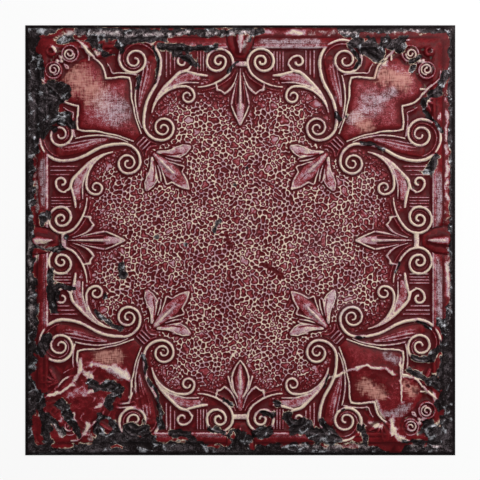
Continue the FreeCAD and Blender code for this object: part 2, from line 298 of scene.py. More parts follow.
corner.stroke(SIDE_SCROLL, [1.6, 2.8, 3.4, 3.6, 3.4, 3.4, 3.0], [2.0, 4.2, 4.2, 4.0])
corner.stroke(HOOK, [2.4, 3.0, 3.2, 3.0], 3.4)
corner.stroke(beside(outer_part[2:-4], 5.6), 1.5, 1.9, tone=0.50)
corner.stroke(beside(inner_part, -5.6)[16:-2], 1.3, 1.4, tone=0.46)
corner.stroke(beside(arcs(SIDE_START, 90, [(25, 50), (66.5, 34)])[3:], 5.4), 1.4, 1.6, tone=0.5)
corner.stroke(beside(arcs(SIDE_START, -90, side_turns[:3]), 4.8), 1.1, 1.2, tone=0.42)
print("scroll points", len(GREAT) + len(BRANCH) + len(SIDE_SCROLL) + len(HOOK))

# %% [markdown]
# The body between the great scroll and the shield is a raised band with fine flutes. The flutes
# fan out, so each is a stroke of its own and not a copy that is shifted by one step.

# %% Band and flutes beside the shield
corner.stroke(smooth([(179, 52), (174, 78), (167, 104), (161, 130), (168, 152)]),
              [10, 9, 6, 3], [1.8, 1.7, 1.4, 0.5], tone=0.10, flat=0.55)
for shift, tone in ((0.0, 0.66), (-5.0, 0.62), (4.6, 0.50)):
    flute = smooth([(174 + shift, 56), (172.5 + shift, 68), (170 + shift, 80),
                    (167 + shift * 0.8, 92), (164.4 + shift * 0.5, 104), (162.5 + shift * 0.2, 116)])
    corner.stroke(flute, [0.8, 1.8, 2.0, 1.6, 0.8], 2.9, tone=tone)
corner.stroke(smooth([(161, 72), (158.5, 83), (157, 94), (156.5, 106), (158, 120), (161, 134),
                      (166, 146)]), [2.0, 2.4, 2.4, 2.0, 1.4], 3.4, tone=0.84)
print("ornament covers", corner.covered(), "of the corner")

# %% [markdown]
# Thin raised lines frame the shield, and a broad leaf fills the room between the great scroll and
# the pebbled field. The lines could be the shield's own rim, but they swell and thin as they go, so
# they are strokes, with their widths in a list.

# %% Frame lines and leaves
corner.stroke(smooth([(98, 47.5), (105, 52.5), (110.4, 59.5), (113.4, 68), (115, 76)]),
              2.8, 3.8)
corner.stroke(smooth([(115, 76), (125, 75.4), (137, 74), (148, 75)]), 2.7, 3.8)
corner.stroke(smooth([(148, 75), (150.4, 85), (151, 103), (154, 116), (156.5, 130), (161, 143),
                      (165, 154)]), [2.6, 2.5, 2.2, 1.8], [3.8, 3.6, 3.2])
corner.stroke(smooth([(117, 55), (121, 61), (124.4, 68.6), (133, 68), (146, 69), (158, 71)]),
              [1.2, 2.0, 2.2], 3.0, tone=0.76)
corner.stroke([(91, 43), (91, 50)], [2.6, 4.2], [1.6, 3.0], tone=0.9)
corner.stroke(smooth([(183, 113), (190, 100), (201, 88), (213, 80), (230, 74), (246, 76)]),
              [2, 4, 6.4, 8.4, 8.4, 4], 2.3, tone=0.48, flat=0.5)
corner.stroke(smooth([(188.4, 100.4), (195, 91.5), (202.6, 83.4), (211, 75), (219.6, 67.8),
                      (231, 64), (236, 57)]), [1.6, 3.0, 3.6, 4.2, 4.4, 2.2], [2.0, 3.8, 4.0, 3.2])
corner.stroke(smooth([(228, 65.5), (237, 68), (247, 70.6), (258, 72)]), [3.0, 3.4, 3.8, 2.6],
              [3.4, 3.6, 2.8])
corner.stroke(smooth([(181, 118), (185, 107), (191.2, 97.6), (202.6, 89.8), (212.5, 86.2),
                      (228, 82), (246, 82)]), [1.4, 2.2, 2.6, 2.4, 1.6], [2.4, 3.2, 2.6], tone=0.86)
for shift, tone in ((0.0, 0.62), (4.4, 0.56)):
    vein = smooth([(204, 85 + shift * 0.3), (216, 77 + shift), (230, 71.5 + shift),
                   (242, 73 + shift)])
    corner.stroke(vein, [0.8, 1.5, 1.0], 3.0, tone=tone)
print("ornament covers", corner.covered(), "of the corner")

# %% [markdown]
# A broad leaf is nearly level, with a thin rolled rim and sunk veins. One thick stroke would make it
# a sausage, so it is a flat stroke with two thin ones along its edges. A vein could be bump in the
# paint, but the mesh itself would not have it, so it is cut into the heights, and is less rubbed.


# %% Broad leaves and veins
def leaf(points, widths, high, tone):
    """Press a broad leaf: a nearly level body with a thin rolled rim on both its sides."""
    spine = smooth(points)
    corner.stroke(spine, widths, high - 0.7, tone=tone, flat=0.6)
    share = np.linspace(0, 1, len(spine))
    width = np.interp(share, np.linspace(0, 1, len(widths)), widths)
    for side in (1, -1):
        corner.stroke(beside(spine, side * (width - 1.0)), 1.5, high, tone=0.95)


def groove(points, half, deep):
    """Cut a vein into what is there: it is lower, and less rubbed."""
    part, best, _ = corner.near_line(smooth(points), half)
    cut = 1 - ramp(best, 0.0, half)
    corner.height[part] -= deep * cut
    corner.wear[part] *= 1 - 0.9 * cut


VEIN_HALF = 1.7
VEIN_DEEP = 0.8
print("a vein is", round(2 * VEIN_HALF / CELL, 1), "cells wide")

# %% [markdown]
# A palmette stands on each diagonal, its point to the field, with a lobe between its leaves and
# three ribs at its foot. It could be drawn whole. Only one side of it is, and the copy across the
# diagonal, which comes at the end, makes the other side exactly alike, as on the tile.

# %% Palmette on the diagonal
leaf([(188, 180), (204, 181.5), (217, 180), (226, 176), (233, 173)],
     [1.8, 4.6, 8.6, 7.4, 3.4], 3.6, 0.60)
corner.stroke(smooth([(196, 180), (208, 182), (217, 187), (223, 190)]), [1.0, 2.2, 3.4, 2.4], 3.2,
              tone=0.84)
corner.stroke(smooth([(199, 188), (210, 191.5), (221, 193)]), [1.2, 2.6, 1.6], 2.2, tone=0.80)
corner.stroke([(184, 184), (200, 200), (214, 214), (224, 224), (232, 232)],
              [4, 9, 13, 9, 2.5], 2.0, tone=0.42, flat=0.55)
corner.stroke(smooth([(200, 193), (209, 195), (217, 198), (225.5, 201), (223, 208), (226, 214),
                      (230, 222), (232.6, 232.6)]), [1.2, 1.8, 2.0, 2.0, 2.2, 1.8], 3.0, tone=0.92)
corner.stroke([(184, 184), (194, 194), (204, 204), (212, 212)], [1.8, 3.4, 4.6, 2.6],
              [3.2, 4.4, 4.0], tone=0.82)
corner.stroke(smooth([(206, 212), (215, 216), (224, 226)]), [1.0, 2.4, 1.4], 2.8, tone=0.6)
for vein in ([(194, 183), (209, 184), (222, 182)], [(200, 186), (212, 188.5), (221, 190)],
             [(192, 187), (205, 196), (216, 203), (222, 206)], [(212, 206), (219, 213), (226, 222)],
             [(204, 202), (213, 212), (219, 220)]):
    groove(vein, VEIN_HALF, VEIN_DEEP)
for shift in (0.0, 3.8, 7.6):
    foot = 164.0 + shift
    corner.stroke([(foot - 5, foot + 5), (foot + 5, foot - 5)], 2.0, 3.6, tone=0.62)
corner.stroke(smooth([(186, 171), (178, 172.5), (172.5, 178)]), 2.2, 2.0, tone=0.5)
corner.stroke([(210, 173), (213.5, 173.5)], 3.0, 2.0, tone=0.6)
print("ornament covers", corner.covered(), "of the corner")

# %% [markdown]
# At the tile's own corner small volutes, balls and leaf tips fold over the border. They could be
# pieces of their own, but the stamping is one sheet. They stand on the moulding and not on the
# field, so most of these strokes have a lift: a level step under the crest that brings them up.

# %% Volutes, balls and leaves at the tile's corner
EYE = (64.6, 41.0)
corner.stroke(arcs((EYE[0] + 11.4, EYE[1]), 90, [(11.4, 360)]), 2.0, 3.2, tone=0.56, lift=2.0)
spiral = arcs((EYE[0] + 6.4, EYE[1] + 1), 90, [(7.0, 180), (6.2, 90), (5.2, 90), (3.6, 180)])
corner.stroke(spiral, [1.6, 2.2, 2.0], 3.4, tone=0.9, lift=2.6)
for ball in ((51, 46.4), (51.6, 51.6)):
    corner.stroke([ball, (ball[0] + 0.6, ball[1] + 0.6)], 4.2, 4.4, tone=0.9, lift=1.4)
corner.stroke(smooth([(56, 56), (61, 58.5), (62, 62)]), 2.6, 3.0, tone=0.7)
corner.stroke(arcs((42.8, 37), 90, [(5.6, 360)]), 2.4, 1.6, tone=0.25, lift=3.4)
for tip in ((92, 25), (103, 22), (114, 27), (122, 36)):
    corner.stroke(smooth([(104, 47), ((tip[0] + 106) / 2, (tip[1] + 44) / 2), tip]),
                  [2.4, 5.0, 3.2], [2.0, 4.6, 3.0], tone=0.30, lift=0.6)
corner.stroke(smooth([(66, 22), (76, 23), (84, 31), (90, 39), (98, 46)]), [2.2, 3.0, 3.0, 2.4],
              [3.0, 4.0, 3.0], tone=0.8, lift=1.6)
print("tallest stroke", round(float(corner.height.max()), 2), "mm")

# %% [markdown]
# Short reeds stand between the scrolls, and the middle of each side carries one half of a lily in
# each corner, over the tongue. The two halves meet at the middle line, so a stroke that ends there
# makes a whole piece. At last the strokes are copied to the other side of the diagonal.

# %% Reeds, side lily and tongue
for reed, end in ((200.5, 74), (206, 70), (212, 63)):
    corner.stroke([(reed, 37), (reed, end)], 1.7, 1.5, tone=0.62)
for reed in (244.5, 248.8, 253.0, 257.2):
    corner.stroke([(reed, 38), (reed, 65)], 1.6, 1.5, tone=0.60)
corner.stroke(smooth([(301, 68), (298, 78), (294, 87), (289, 93), (283, 97.6)]),
              [1.0, 1.4, 2.0, 3.2, 2.8], [2.2, 3.0, 3.0], tone=0.84)
corner.stroke(smooth([(283, 97.6), (277, 93), (272.5, 92.5)]), [2.8, 2.0, 3.2], 2.6, tone=0.9)
corner.stroke([(271, 84), (272.5, 92.5)], [1.6, 3.2], 2.6, tone=0.86)
corner.stroke(smooth([(299.5, 80), (296.6, 92), (294, 104), (292.6, 112)]),
              [0.8, 1.2, 2.8, 2.6], [1.4, 2.0, 2.8], tone=0.8)
corner.stroke(smooth([(303, 72), (300.5, 84), (299, 98), (298.4, 112)]), 1.3, 1.6, tone=0.40)
corner.stroke([(296, 55.4), (305, 55.4)], [5.2, 5.4], [3.6, 3.8], flat=0.35, tone=0.84)
corner.stroke([(305, 13), (305, 24), (305, 39)], [6.6, 5.2, 1.8], [2.0, 2.6, 2.0], lift=2.2,
              tone=0.74)
corner.mirrored()
print("ornament covers", corner.covered(), "of the corner")

# %% [markdown]
# A long dart points from the lily into the field at three sides. The bottom side has a shorter
# flame of leaves. One set of layers could hold only one of the two in all four corners, so each of
# them gets layers of its own, and the tile is put together from both.

# %% Dart and flame at the middle of a side
dart = Corner()
dart.stroke([(305, 62), (305, 84), (305, 104), (305, 119)], [1.2, 2.6, 3.6, 4.4], [2.2, 4.2, 4.6],
            tone=0.80)
dart.stroke([(305, 116), (305, 127), (305, 141)], [9.6, 7.4, 1.6], [2.4, 3.0, 2.4], flat=0.3,
            tone=0.62)
dart.stroke([(292.6, 115), (297.6, 127), (304.4, 141.5)], [1.8, 2.3, 1.6], 4.0, tone=0.95)
dart.mirrored()
flame = Corner()
flame.stroke([(305, 66), (305, 78), (305, 100), (305, 128)], [4, 6, 9, 3], 2.0, tone=0.44, flat=0.4)
flame.stroke(smooth([(305, 135), (299, 127), (294.6, 117), (293, 106), (296, 94), (301.5, 82)]),
             [1.8, 2.4, 2.2, 1.6], 3.6, tone=0.95)
flame.stroke([(305, 121), (305, 107), (305, 94)], [1.8, 4.4, 1.8], 3.4, tone=0.92)
flame.stroke([(305, 90), (305, 78)], [5.0, 3.4], 2.6, tone=0.62)
flame.stroke(smooth([(300, 84), (293, 95), (288, 112)]), [1.0, 2.2, 2.6], 3.0, tone=0.92)
print("tallest of dart", round(float(dart.height.max()), 2), "mm, of flame",
      round(float(flame.height.max()), 2), "mm")

# %% [markdown]
# A pressed sheet runs softly round its forms, so some levels have to melt into each other. Smooth
# shading would only hide the edges. A soft mean of the heights takes them away, and one that is
# read off a running sum is quick at any width.


# %% Soft mean
def blurred(field, radius):
    """The mean over a square of about the radius, twice, which is close to a soft round mean."""
    reach = max(1, int(round(radius / CELL)))
    for _ in range(2):
        for axis in (0, 1):
            pad = [(0, 0), (0, 0)]
            pad[axis] = (reach + 1, reach)
            run = np.cumsum(np.pad(field, pad, mode="edge"), axis=axis)
            ahead = np.take(run, range(2 * reach + 1, run.shape[axis]), axis=axis)
            behind = np.take(run, range(0, run.shape[axis] - 2 * reach - 1), axis=axis)
            field = (ahead - behind) / (2 * reach + 1)
    return field


print("a 4 mm mean leaves", round(float(blurred(moulding, 4.0).max()), 2), "of", BEAD, "mm")

# %% [markdown]
# The ground is made of levels: the moulding, the shield's puffed panel, the tongue and the flat of
# the field. The strokes stand over the field's level, and where a scroll leans on the border,
# whichever is higher shows. Sculpting could lay them into each other. Taking the higher of two
# heights does the same, and is exact. The moulding's own edges are rubbed too, and that is the lip.

# %% Levels of the ground
TONGUE_STEEP = 1.1
TONGUE_HIGH = 3.2
TONGUE_REACH = 52
tongue_level = np.minimum(np.maximum(tongue_in, 0) * TONGUE_STEEP, TONGUE_HIGH) + RAIL
ground = np.where((tongue_in > 0) & (INSET < TONGUE_REACH), tongue_level, moulding)
PUFF_HIGH = 3.4
PUFF_WIDE = 13
panel = 1.0 + PUFF_HIGH * (1 - np.exp(-np.maximum(shield_in, 0) / PUFF_WIDE))
ground = np.where(shield_in > 0, np.maximum(ground, FIELD + panel * ramp(shield_in, 0, 3)), ground)
volute_in = inside(outer_part)
in_volute = ramp(np.maximum(volute_in, volute_in.T), 0.0, 5.0)
VOLUTE_FLOOR = FIELD + 1.2
ground = ground * (1 - in_volute) + np.minimum(ground, VOLUTE_FLOOR) * in_volute
SOFT_CORNER = (60, 120)
LIP_STARTS = (168, 190)
at_corner = 1 - ramp(np.maximum(ALONG, INWARD), *SOFT_CORNER)
ground = ground * (1 - at_corner) + blurred(ground, 4.0) * at_corner
on_border = np.where(tongue_in > 0, tongue_level, FIELD) + 1.0 * in_volute
lip = np.interp(INSET, [15.0, 15.9, 16.4, 22.0, 25.0, 27.0, 29.6, 30.4, 31.8, 33.4, 34.6],
                [0.2, 0.5, 0.0, 0.06, 0.24, 0.48, 0.46, 0.26, 0.80, 0.60, 0.0])
lip = lip * (1 - in_volute) * ramp(np.maximum(ALONG, INWARD), *LIP_STARTS)
lip = np.where((tongue_in <= 0) & (shield_in <= 0), lip, 0.0)
print("ground from", round(float(ground.min()), 2), "to", round(float(ground.max()), 2), "mm")

# %% [markdown]
# The tile is the corner four times. A Mirror modifier would do that to a mesh, but the damage is
# not alike in the four corners, so the grid is mirrored first, and all that follows is done on the
# whole tile, which is pressed once with the dart and once with the flame.


# %% Put the whole tile together
FLAME_BELOW = -120
FLAME_HALF = 60


def whole(quarter):
    """The four mirrored corners as one grid, +X to the right and +Y up."""
    row = np.concatenate([quarter, quarter[-2::-1]], axis=0)
    return np.concatenate([row, row[:, -2::-1]], axis=1)


def pressed(middle_piece):
    """Face, wear and cover of a tile with the same ornament at the middle of each side."""
    height = np.maximum(corner.height, middle_piece.height)
    rubbed = np.maximum(corner.wear, middle_piece.wear)
    covered = np.maximum(corner.cover, middle_piece.cover)
    top = np.maximum(ground, on_border + height)
    rubbed = np.maximum(rubbed * ramp(top - ground, 0.0, 1.0), lip)
    return whole(top), whole(rubbed), whole(np.maximum(covered, ramp(-field_in, -1.5, 0.5)))


inset = whole(INSET)
panel_in = whole(np.maximum(shield_in, 0))
places = np.linspace(-SIDE / 2, SIDE / 2, 2 * CELLS + 1)
X, Y = np.meshgrid(places, places, indexing="ij")
at_bottom = (Y < FLAME_BELOW) & (np.abs(X) < FLAME_HALF)
face, wear, cover = (np.where(at_bottom, below, above)
                     for below, above in zip(pressed(flame), pressed(dart)))
print("grid", face.shape, "highest", round(float(face.max()), 2), "mm")

# %% [markdown]
# Age and handwork are uneven, so what follows needs noise: soft lumps of a given size, from -1 to 1.
# Blender's noise textures live in the shader and cannot move the grid. This one mixes the random
# numbers of a coarse table, and each seed gives the same cloud in every run.


# %% Noise over the whole tile
def cloud(size, seed, lean=0.0, squash=1.0):
    """Soft seeded noise from -1 to 1, its lumps a size across, squashed across a leaning line."""
    draw = np.random.default_rng(seed)
    a = (X * math.cos(lean) + Y * math.sin(lean)) / size
    b = (Y * math.cos(lean) - X * math.sin(lean)) / (size * squash)
    a, b = a - a.min(), b - b.min()
    table = draw.uniform(-1, 1, (int(a.max()) + 2, int(b.max()) + 2))
    i, j = a.astype(int), b.astype(int)
    s, t = ramp(a - i, 0, 1), ramp(b - j, 0, 1)
    low = table[i, j] * (1 - s) + table[i + 1, j] * s
    high = table[i, j + 1] * (1 - s) + table[i + 1, j + 1] * s
    return low * (1 - t) + high * t


print("clouds lie on", X.size, "places")

# %% [markdown]
# The field inside the ornament is pebbled: pits as round as peas or as long as rice grains, with a
# thin net of metal left between them. A cell texture in the shader has no such long cells. So seeds
# are set on a jittered honeycomb, and many join a neighbour's cell, which may then hold up to four.

# %% Seeds of the pits
PIT_PITCH = 7.0
ROW = PIT_PITCH * math.sqrt(3) / 2
JOINED = 0.66
MOST_SEEDS = 4
NEIGHBOURS = [(1, 0), (0, 1), (-1, 0), (0, -1), (1, 1), (1, -1)]
draw = np.random.default_rng(24)
count = int(SIDE / ROW) + 90
shape = (count, count)
seed_x = (np.arange(count)[:, None] + 0.5 * (np.arange(count)[None, :] % 2)
          + draw.uniform(-0.30, 0.30, shape)) * PIT_PITCH
seed_y = (np.arange(count)[None, :] + draw.uniform(-0.32, 0.32, shape)) * ROW
name = np.arange(count * count).reshape(shape)
length = np.ones(count * count, int)
for i in range(1, count - 1):
    for j in range(1, count - 1):
        step_i, step_j = NEIGHBOURS[draw.integers(6)]
        other = name[i + step_i, j + step_j]
        if draw.random() < JOINED and length[name[i, j]] == 1 and length[other] < MOST_SEEDS:
            name[i, j] = other
            length[other] += 1
print("seeds", count * count, "in", len(np.unique(name)), "cells")

# %% [markdown]
# How far is each place from the wall of its pit? About half of how much nearer its own cell is than
# the next one. Asking every seed would be slow, so each place asks only those around it. Where three
# walls meet the distance is cut short, so that the net is thicker at its knots. The rows of pits
# lean and bend a little, so the places are bent and turned before they look for seeds.

# %% Distance to the wall of a pit
KNOT = 0.6
LEAN = math.radians(21)
BEND = 2.2
warp_x, warp_y = X + BEND * cloud(15, 31), Y + BEND * cloud(15, 32)
turned_x = warp_x * math.cos(LEAN) + warp_y * math.sin(LEAN) + count * PIT_PITCH / 2
turned_y = warp_y * math.cos(LEAN) - warp_x * math.sin(LEAN) + count * ROW / 2
cell_i, cell_j = (turned_x / PIT_PITCH).astype(int), (turned_y / ROW).astype(int)
near = np.full(X.shape, 1e9)
near_name = np.full(X.shape, -1)
around = []
for a in (-1, 0, 1):
    for b in (-1, 0, 1, 2):
        seed = np.clip(cell_i + a, 0, count - 1), np.clip(cell_j + b, 0, count - 1)
        away = np.hypot(turned_x - seed_x[seed], turned_y - seed_y[seed])
        around.append((away, name[seed]))
        near_name = np.where(away < near, name[seed], near_name)
        near = np.minimum(near, away)
second = np.full(X.shape, 1e9)
third = np.full(X.shape, 1e9)
for away, whose in around:
    away = np.where(whose == near_name, 1e9, away)
    third = np.minimum(third, np.maximum(second, away))
    second = np.minimum(second, away)
to_wall = (second - near) / 2 - KNOT * (1 - ramp(third - near, 0.4, 3.0))
print("net share", round(float((to_wall < 0.6).mean()), 2))

# %% [markdown]
# The distance to the wall becomes height: the net stands up, the pit lies below it, and the heart
# of a pit rises again as a low pebble. The ornament covers the field, so the relief is faded out
# under it. As bump in the paint it would look flat from the side.

# %% Pebbled field
open_field = 1 - cover
NET_HIGH = 1.2
PEBBLE_HIGH = 0.35
PIT_DEEP = 0.55
net_height = NET_HIGH * (1 - ramp(to_wall, -0.2, 1.7))
pebble_height = PEBBLE_HIGH * ramp(to_wall, 1.8, 3.0)
face = face + (net_height + pebble_height - PIT_DEEP) * open_field
print("field share", round(float(open_field.mean()), 2))

# %% [markdown]
# Damage is not the same in the four corners, so it is placed on the whole tile, in the photograph's
# own pixels. Texture painting would keep it in an image, and this script uses none. A daub is a line
# of pixels with a radius: deep in its middle and gone at its edge. The place is shaken by noise
# first, so that no daub has a clean edge.

# %% Daubs
TILE_PIXELS = 430.0
PIXEL = SIDE / TILE_PIXELS
PHOTO_MIDDLE = np.array([240.2, 240.3])
SHAKEN_X = X + 2.4 * cloud(13, 41) + 1.5 * cloud(5, 42)
SHAKEN_Y = Y + 2.4 * cloud(13, 43) + 1.5 * cloud(5, 44)


def daubs(lines):
    """Depth inside a set of daubs (radius, place, place, ...): 1 at the middle, 0 at the edge."""
    layer = np.full(X.shape, -1.0)
    for radius, *spots in lines:
        spots = (np.array(spots, float) - PHOTO_MIDDLE) * (PIXEL, -PIXEL)
        if len(spots) == 1:
            spots = np.vstack([spots, spots + 0.01])
        reach = radius * PIXEL
        low = np.clip(((spots.min(0) - 2 * reach + SIDE / 2) / CELL).astype(int), 0, 2 * CELLS)
        high = np.clip(((spots.max(0) + 2 * reach + SIDE / 2) / CELL).astype(int) + 2, 1,
                       2 * CELLS + 1)
        part = slice(low[0], high[0]), slice(low[1], high[1])
        x, y = SHAKEN_X[part], SHAKEN_Y[part]
        best = np.full(x.shape, 1e9)
        for (x0, y0), (x1, y1) in zip(spots, spots[1:]):
            size = max((x1 - x0) ** 2 + (y1 - y0) ** 2, 1e-6)
            t = np.clip(((x - x0) * (x1 - x0) + (y - y0) * (y1 - y0)) / size, 0.0, 1.0)
            away = np.hypot(x - x0 - t * (x1 - x0), y - y0 - t * (y1 - y0))
            best = np.minimum(best, away)
        layer[part] = np.maximum(layer[part], 1 - best / reach)
    return layer


print("one pixel of the photograph is", round(PIXEL, 2), "mm")

# %% [markdown]
# Along the border both coats have come off, and the steel is bare and dark. Noise alone would put
# the bare places anywhere, so the main ones are daubs, and noise only gnaws at their edges. A
# second list holds the places among them that kept their paint. The very rim is bare all round.

# %% Where the metal is bare
BARE = [
    # top edge, from the left: nail rail and the folded leaf work under it
    (4.5, (28, 32), (60, 31), (110, 31), (165, 33), (262, 32)), (3.5, (340, 29), (455, 29)),
    (6.0, (30, 30), (60, 30), (95, 33), (120, 36), (150, 37), (166, 38)),
    (4.5, (62, 40), (84, 38), (98, 46), (106, 54), (118, 50), (121, 42)),
    (4.0, (160, 46), (168, 48), (186, 48), (215, 47)), (3.5, (176, 54), (190, 60), (196, 66)),
    (3.5, (250, 41)), (9.0, (356, 45), (370, 47), (376, 52)), (7.0, (385, 42), (395, 46), (401, 42)),
    (3.6, (343, 33), (356, 36)), (3.0, (411, 62), (421, 58)), (2.6, (414, 67), (411, 73)),
    (5.0, (430, 95), (438, 92)), (4.5, (441, 84), (446, 76)),
    (2.6, (424, 102), (425, 112), (431, 120)),
    # left edge
    (8.0, (31, 30), (32, 150)), (7.0, (38, 60), (37, 110)), (9.0, (38, 90), (54, 92), (62, 93)),
    (12.0, (44, 105), (48, 122)), (5.0, (44, 135), (52, 122), (66, 119), (72, 125)),
    (5.0, (30, 150), (29, 450)), (6.0, (31, 212), (36, 224), (47, 216)), (3.0, (66, 236)),
    (1.8, (36, 246), (58, 251)), (5.0, (32, 280), (33, 340)), (4.0, (51, 272), (53, 310)),
    (3.0, (58, 286), (72, 288)), (2.6, (58, 290), (58, 298)), (5.0, (34, 345), (42, 352), (46, 338)),
    (8.0, (32, 392), (40, 397)), (4.0, (32, 399), (49, 418), (63, 431)), (6.0, (30, 350), (31, 400)),
    # bottom edge
    (9.0, (30, 453), (455, 453)), (6.0, (30, 400), (30, 450)), (5.0, (48, 420), (46, 434), (52, 446)),
    (5.0, (56, 447), (98, 447)), (6.0, (100, 442), (150, 446), (200, 448)),
    (5.0, (60, 404), (68, 416), (80, 431)),
    (4.5, (84, 436), (95, 442), (110, 443)), (8.0, (101, 424), (112, 440), (140, 442), (150, 438)),
    (6.5, (108, 426), (116, 434)), (7.0, (130, 430), (144, 430)), (4.0, (158, 420), (163, 428)),
    (3.6, (172, 432), (186, 434), (195, 440)), (3.0, (212, 430), (224, 432)),
    (8.0, (232, 437), (244, 440)), (6.0, (256, 434), (268, 432)), (8.0, (295, 428), (330, 436)),
    (5.0, (286, 416), (292, 424), (306, 424)), (3.4, (262, 411), (271, 416)),
    (3.0, (322, 420), (330, 434), (340, 440)), (3.4, (362, 427), (365, 441)),
    (5.5, (92, 384), (97, 386), (112, 386), (118, 390)), (4.0, (113, 396), (108, 403), (111, 408)),
    # right edge
    (3.0, (452, 30), (452, 450)), (4.0, (437, 157), (429, 171)), (5.0, (449, 308), (448, 345)),
    (6.0, (439, 322), (447, 334)), (8.0, (447, 345), (447, 450)), (4.0, (411, 371), (425, 377)),
    (6.0, (425, 377), (440, 385)), (3.4, (412, 357), (428, 359), (438, 348)),
    (5.0, (438, 404), (447, 404)), (9.0, (428, 428), (440, 436), (436, 444)),
    (6.0, (400, 446), (450, 446)),
    # field and crests
    (2.0, (246, 167)), (2.4, (235, 186)), (2.2, (219, 220), (214, 231)), (2.4, (157, 237)),
    (2.6, (186, 244)), (2.0, (289, 289)), (3.6, (120, 266), (124, 276)), (2.4, (105, 298)),
    (1.5, (153, 47), (159, 66), (156, 84)), (1.5, (139, 77), (137, 89)), (1.8, (236, 62), (229, 72)),
    (1.8, (350, 49), (360, 62), (354, 68)), (2.4, (337, 114), (339, 119)), (1.5, (346, 117)),
    (2.0, (426, 117), (434, 123), (441, 132)), (1.6, (360, 142), (375, 145), (384, 151)),
    (1.8, (399, 262), (394, 272)), (1.8, (415, 322), (430, 326)), (1.6, (356, 338), (365, 336)),
    (1.6, (144, 356), (147, 372)), (2.2, (150, 380), (158, 398), (162, 418)),
    (2.2, (223, 398), (231, 405)),
    (2.2, (328, 378), (325, 386)), (3.4, (277, 403)), (1.8, (343, 408)), (2.0, (95, 310), (112, 326)),
    (2.2, (112, 327), (122, 328)), (1.8, (50, 247), (64, 249)),
]
PAINTED = [
    (4.5, (40, 50), (50, 42), (60, 33), (70, 30)), (4.0, (44, 58), (50, 62)),
    (4.5, (106, 48), (114, 52)),
    (3.0, (75, 38), (85, 40)), (4.6, (170, 41), (200, 43), (232, 40)), (7.0, (37, 378)),
    (5.0, (36, 418), (38, 437)), (3.6, (53, 445), (71, 444)), (6.0, (85, 424), (88, 440)),
    (3.4, (104, 423), (108, 430)), (1.6, (112, 446), (123, 448)), (3.6, (153, 420), (155, 430)),
    (4.4, (162, 434), (164, 440)), (6.0, (202, 436), (226, 440)), (1.4, (208, 447), (218, 447)),
    (2.0, (402, 446), (410, 444)), (2.4, (427, 446)), (4.6, (427, 372)), (3.0, (440, 412)),
    (3.6, (234, 435)), (2.4, (256, 440), (298, 437)), (2.6, (342, 445), (356, 447)),
    (5.0, (36, 210), (38, 230)), (3.0, (40, 262), (44, 275)), (2.4, (300, 444)),
    (9.0, (378, 440), (395, 446)), (4.0, (280, 415), (278, 426)),
]
print("daubs of bare metal", len(BARE), "and of paint left in them", len(PAINTED))

# %% [markdown]
# Old paint does not end in a clean line. The daubs and the rim give one depth, noise makes its edge
# ragged, and the painted places are cut out of it again. A mask of only 0 and 1 would be as coarse
# as the mesh. A soft one lets the shader's finer noise break the edge once more.

# %% Edge of the bare metal
BARE_RIM = 4.2
rough = 0.45 * cloud(9, 1) + 0.3 * cloud(4.5, 2) + 0.22 * cloud(2.4, 3)
edge_eaten = np.maximum(daubs(BARE), (BARE_RIM - inset) / 1.5)
bare_depth = np.minimum(edge_eaten + rough * 0.75, 0.18 - daubs(PAINTED) - rough * 0.5)
bare_depth = np.where(inset < BARE_RIM - 1.0, 0.5, bare_depth)
bare = ramp(bare_depth, -0.22, 0.26)
print("bare metal on", round(100 * float(bare.mean()), 1), "% of the tile")

# %% [markdown]
# The lower two shields were crushed and flattened, and the bare places of the border are like
# crumpled foil. A cloth simulation crumples a sheet, but hardly in these places. Sharp ridges
# come from noise that is folded at zero, and the larger folds and dents are daubs. Nothing may rise
# over the solid's top, and the rim stays flat.

# %% Creases and dents
CRUSHED = [(26, (88, 378)), (24, (106, 396)), (20, (62, 400), (50, 420)), (16, (80, 420)),
           (12, (140, 400)), (22, (380, 385)), (16, (405, 385)), (16, (396, 428))]
RAISED = [(5, (92, 365), (112, 367), (121, 372), (130, 380)), (3, (80, 356), (81, 366), (77, 378)),
          (3, (48, 396), (62, 391), (76, 384)), (2.6, (132, 380), (133, 390), (130, 400)),
          (2.6, (330, 378), (350, 370), (367, 366)), (2.6, (367, 366), (385, 368), (397, 373)),
          (2.2, (401, 355), (400, 400)), (3.0, (402, 374), (412, 377), (422, 380)),
          (6, (393, 92), (372, 104), (352, 118))]
SUNK = [(7, (100, 376), (118, 386)), (6, (60, 405), (78, 402)), (5, (92, 384), (116, 390)),
        (7, (372, 380), (384, 392)), (4, (407, 386), (418, 392))]
crush = ramp(daubs(CRUSHED), 0.0, 0.5)
sharp = (1 - np.abs(cloud(13, 5, 0.5, 0.7))) ** 4 + 0.6 * (1 - np.abs(cloud(7, 6, -0.4, 0.8))) ** 4
foil = sharp - 0.7 + 0.5 * cloud(18, 7)
face = face * (1 - crush * 0.8) + blurred(face, 7.0) * crush * 0.8
FOLD_HIGH = 1.3
DENT_DEEP = 1.5
face = face + ramp(daubs(RAISED), 0.0, 1.0) * FOLD_HIGH - ramp(daubs(SUNK), 0.0, 1.0) * DENT_DEEP
RIM_WIDE = 4.5
PAINT_THICK = 0.18
PAINT_ROUGH = 0.12
wrinkled = blurred(bare * ramp(inset, RIM_WIDE, 7.0), 1.5)
face = face + foil * (0.9 * wrinkled + 0.5 * crush) - PAINT_THICK * bare
face = face + PAINT_ROUGH * rough * (1 - open_field)
UNDER_TOP = 0.05
room = np.where(inset < RIM_WIDE, SHEET, TOP - UNDER_TOP)
face = np.clip(face, SHEET, room)
print("crushed share", round(float(crush.mean()), 3), "highest", round(float(face.max()), 2), "mm")
